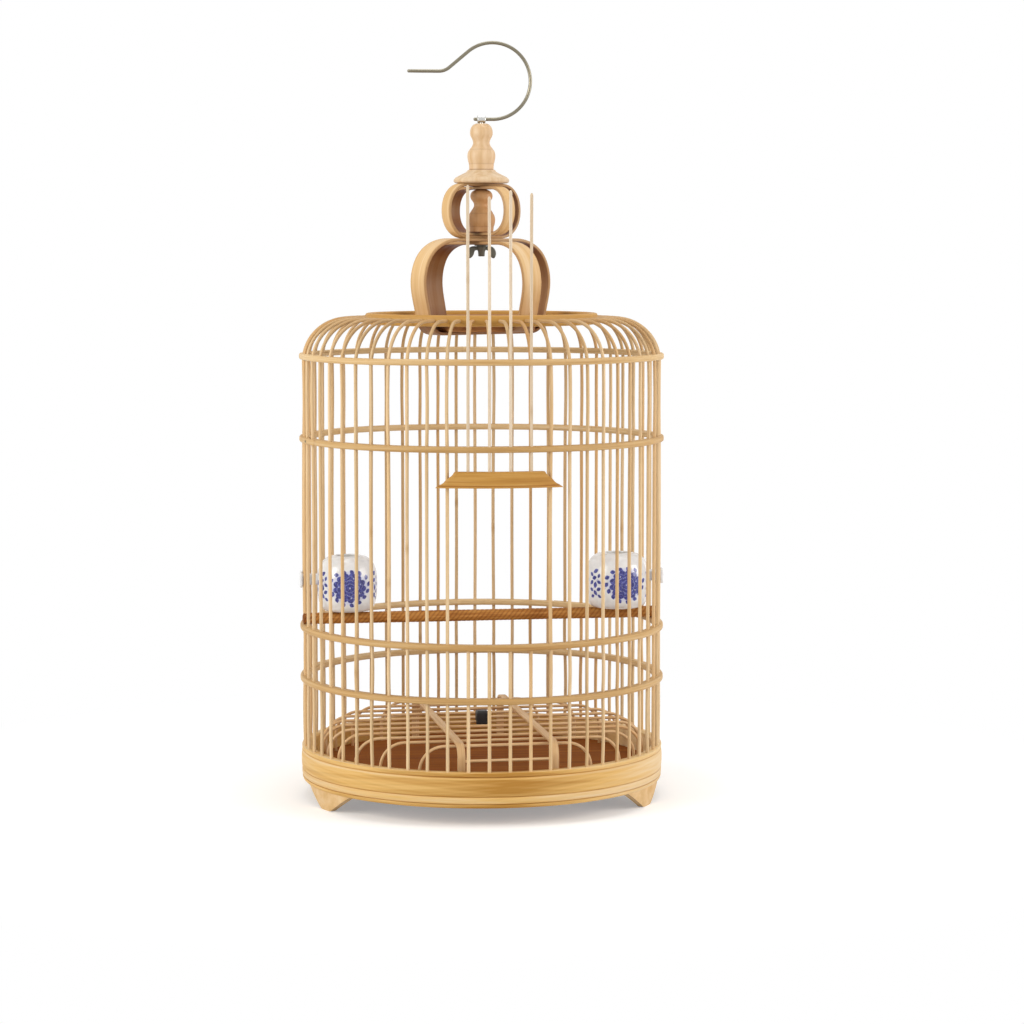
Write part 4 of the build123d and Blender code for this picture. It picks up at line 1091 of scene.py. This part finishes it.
def make_cup(node, side, facing, radius):
    """A glazed cup: a barrel with a rolled lip, hollow inside, a lug between two ribs and its button outside.
    Three peony heads go round it."""
    low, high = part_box(node)
    wall, mouth, lip_radius, columns = 2.0 * mm, 8.5 * mm, 0.5 * mm, 400
    bottom, top, height = low.z, high.z, high.z - low.z
    axis_x = side * (cup_inner_side + radius)
    shares = np.array(((0.56, 0.0), (0.82, 0.045), (0.955, 0.2), (1.0, 0.47), (0.98, 0.68), (0.89, 0.84),
                       (0.7, 0.955), (0.5, 1.0)))
    outside = smooth_through(shares * (radius, height) + (0, bottom), 150)
    lip_t = np.linspace(0, pi, 9)[1:-1]
    rim = outside[-1, 0]
    lip = np.stack([(rim + mouth) / 2 + (rim - mouth) / 2 * np.cos(lip_t),
                    top - lip_radius + lip_radius * np.sin(lip_t)], -1)
    outside[:, 1] = np.minimum(outside[:, 1], top - lip_radius)
    inner = smooth_through(shares * (radius - wall, height - 2 * wall) + (0, bottom + wall), 40)
    inside = np.concatenate([((mouth, top - 0.8 * mm), (mouth, top - wall)), inner[::-1]])
    foot = np.array(((6.0, 0.8), (9.6, 0.8), (10.0, 0))) * mm + (0, bottom)
    outline = np.concatenate([foot, outside, lip, inside])
    length = lengths(outside)
    around = np.arange(columns) * 2 * pi / columns * radius / mm
    up = (length - length[-1] * 0.475) / mm
    paint = np.zeros((len(outline), columns))
    paint[len(foot):len(foot) + len(outside)] = cobalt_band(around[None], up[:, None], 2 * pi * radius / mm / 3)
    # Tone nought darkens the inside: some dust and painted shade.
    glazed = np.where(np.arange(len(outline)) < len(outline) - len(inside), 0.5, 0.0)[:, None]
    body = surface(spun(outline, columns, (axis_x, 0), -pi / 2 + facing), mark=paint, tone=glazed)
    middle = bottom + 0.58 * height
    lug_start = axis_x + side * (radius - 1.2 * mm)
    lug_run = straight_run((lug_start, 0, middle), (side * lug_end, 0, middle), 1 * mm)
    lug = surface(carry(strip_section(8 * mm, 8 * mm, 2.2 * mm, 6), lug_run, (0, 1, 0)))
    half_sizes = np.array((1.3, 9.0, 5.75)) * mm
    button_x = high.x - half_sizes[0] if side > 0 else low.x + half_sizes[0]
    button = surface(pillow((button_x, 0, middle), half_sizes, 0.42, 30, 60))
    dress(f"{node}_glazed", [body, lug, button], "porcelain", node)


# Floor grille
grille_along = polar(1, grille_turn, 0)
grille_aside = across_way(grille_turn)


def make_slats():
    """Split round slats across the floor, side by side, each with turned-down ends."""
    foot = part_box("tray")[1].z
    top = foot + slat_rise
    pitch = 2 * (grille_radius - slat_inset) / (slat_count - 1)
    for row in range(slat_count):
        offset = (row - (slat_count - 1) / 2) * pitch
        reach = sqrt(grille_radius**2 - offset**2)
        route = staple(reach, foot, top, slat_bend, 5 * mm, 1.6 * mm)
        slat = stick(stood(route, -offset, grille_along, grille_aside), grille_aside, rod_radius,
                     joint_every=240 * mm)
        dress(f"split_slat_{row + 1}", [slat], "pale_bamboo", f"grille_slat_{row + 1}")


def make_crossbars():
    """Two flat bars laid over the slats, and the ties that join their legs front and back."""
    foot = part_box("tray")[1].z
    bar_foot = foot + slat_rise + rod_radius + 0.1 * mm
    top = bar_foot + crossbar_thickness / 2
    reach = sqrt(grille_radius**2 - (crossbar_spacing / 2) ** 2) - crossbar_thickness / 2
    route = staple(reach, foot, top, crossbar_bend, 6 * mm, 1.2 * mm)
    section = strip_section(crossbar_width, crossbar_thickness, 0.45 * mm, 4)
    for name, side in (("left_crossbar", -1), ("right_crossbar", 1)):
        bar_route = stood(route, side * crossbar_spacing / 2, grille_aside, grille_along)
        bar = surface(carry(section, bar_route, grille_along), tone=0.4, start=random.uniform(0, 2))
        dress(f"{name}_split", [bar], "pale_bamboo", name, crease=50)
    half = (crossbar_spacing - crossbar_width) / 2
    run = straight_run((-half, bar_foot - tie_drop), (half, bar_foot - tie_drop), 6 * mm)
    ties = [stick(stood(run, side * reach, grille_along, grille_aside), grille_aside, rod_radius)
            for side in (-1, 1)]
    dress("grille_ties_split", ties, "pale_bamboo", "grille_ties")


def make_knob():
    """The knob that lifts the grille: a block with eased edges, turned with the slats."""
    low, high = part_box("grille_knob")
    block = pillow((0, 0, 0), (4.4 * mm, 4.4 * mm, (high.z - low.z) / 2), 0.3, 26, 64)
    turned = block @ np.array((grille_along, grille_aside, upward)) + (np.array(low) + np.array(high)) / 2
    dress("grille_knob_moulded", [surface(turned)], "black_plastic", "grille_knob", crease=60)


# Camera, floor and light
def shows_plain(f):
    """One for a ray from the camera, off metal or through glass, which sees the background as it is."""
    rays = f.add("ShaderNodeLightPath").outputs
    shown = rays["Is Camera Ray"]
    for ray in ("Is Glossy Ray", "Is Transmission Ray"):
        shown = f.math("MAXIMUM", shown, rays[ray])
    return shown


def make_floor():
    """A pale floor, white to the camera but for the cage's shadow, and all white further out."""
    reach = 8.0
    corners = np.array([[(-reach, -reach, 0), (reach, -reach, 0)], [(-reach, reach, 0), (reach, reach, 0)]])
    floor = added("floor", mesh_of("floor", [surface(corners, ring=False)]))
    f = new_finish("pale_floor")
    shown = shows_plain(f)
    far = f.add("ShaderNodeVectorMath", {"operation": "LENGTH"},
                n0=f.add("ShaderNodeTexCoord").outputs["Object"]).outputs["Value"]
    mottle = f.noise(False, (3.0, 3.0, 3.0), detail=2)
    grey = f.ramp(mottle, ((0.3, (0.8, 0.8, 0.8)), (0.7, (0.84, 0.84, 0.84))))
    matt = f.add("ShaderNodeBsdfDiffuse", Color=grey)
    glow = f.add("ShaderNodeEmission", Color=(1, 1, 1), Strength=f.times(shown, 0.3))
    near = f.add("ShaderNodeAddShader", n0=matt.outputs[0], n1=glow.outputs[0])
    white = f.add("ShaderNodeEmission", Color=(1, 1, 1), Strength=shown)
    both = f.add("ShaderNodeMixShader", n0=f.times(f.spread(far, 0.2, 0.5), shown), n1=near.outputs[0],
                 n2=white.outputs[0])
    f.add("ShaderNodeOutputMaterial", n0=both.outputs[0])
    floor.data.materials.append(f.owner)


def make_sky():
    """An even sky that shows white and lights the cage at half that."""
    f = Finish(bpy.data.worlds.new("studio"))
    bpy.context.scene.world = f.owner
    lit = f.add("ShaderNodeBackground", Color=(1.0, 0.98, 0.96), Strength=0.5)
    white = f.add("ShaderNodeBackground", Color=(1, 1, 1), Strength=1.0)
    blend = f.add("ShaderNodeMixShader", n0=shows_plain(f), n1=lit.outputs[0], n2=white.outputs[0])
    f.add("ShaderNodeOutputWorld", n0=blend.outputs[0])


def make_lamps():
    """Three soft lamps that face the middle of the cage."""
    middle = np.array((0, 0, 0.22))
    for name, place, size, power, colour in (
        ("left_softbox", (-1.35, -0.75, 0.75), 0.9, 15.8, (1.0, 0.98, 0.93)),
        ("right_softbox", (1.4, -0.7, 0.65), 0.9, 13.8, (1.0, 0.97, 0.95)),
        ("top_softbox", (0.1, 0.1, 1.75), 1.1, 8.8, (1.0, 1.0, 1.0)),
    ):
        lamp = bpy.data.lights.new(name, "AREA")
        lamp.size = size
        lamp.energy = power
        lamp.color = colour
        softbox = added(name, lamp)
        softbox.location = place
        aim = unit(middle - place)
        softbox.rotation_euler = (pi / 2 + np.arcsin(aim[2]), 0, atan2(-aim[0], aim[1]))


def make_camera():
    """A long lens at the photograph's height, turned a little so that the cage stands left of centre."""
    camera = added("camera", bpy.data.cameras.new("camera"))
    camera.location = polar(camera_distance, camera_azimuth - pi / 2, camera_height)
    camera.rotation_euler = (pi / 2 - camera_pitch, 0, camera_azimuth - camera_turn)
    camera.data.sensor_width = 36.0
    camera.data.lens = camera_lens
    camera.data.shift_y = camera_shift
    bpy.context.scene.camera = camera
    bpy.context.scene.view_settings.view_transform = "Standard"


make_camera()
make_floor()
make_sky()
make_lamps()
make_base()
make_ribs()
make_hoops()
make_nails()
make_rods()
make_rail()
make_perch()
make_cup("left_cup", -1, 0.04, 21.7 * mm)
make_cup("right_cup", 1, 0.15, 23.4 * mm)
make_slats()
make_crossbars()
make_knob()
make_crown()
make_boss()
make_loops()
make_turned()
make_hook()
make_eye_bolt()
make_wing_nut()
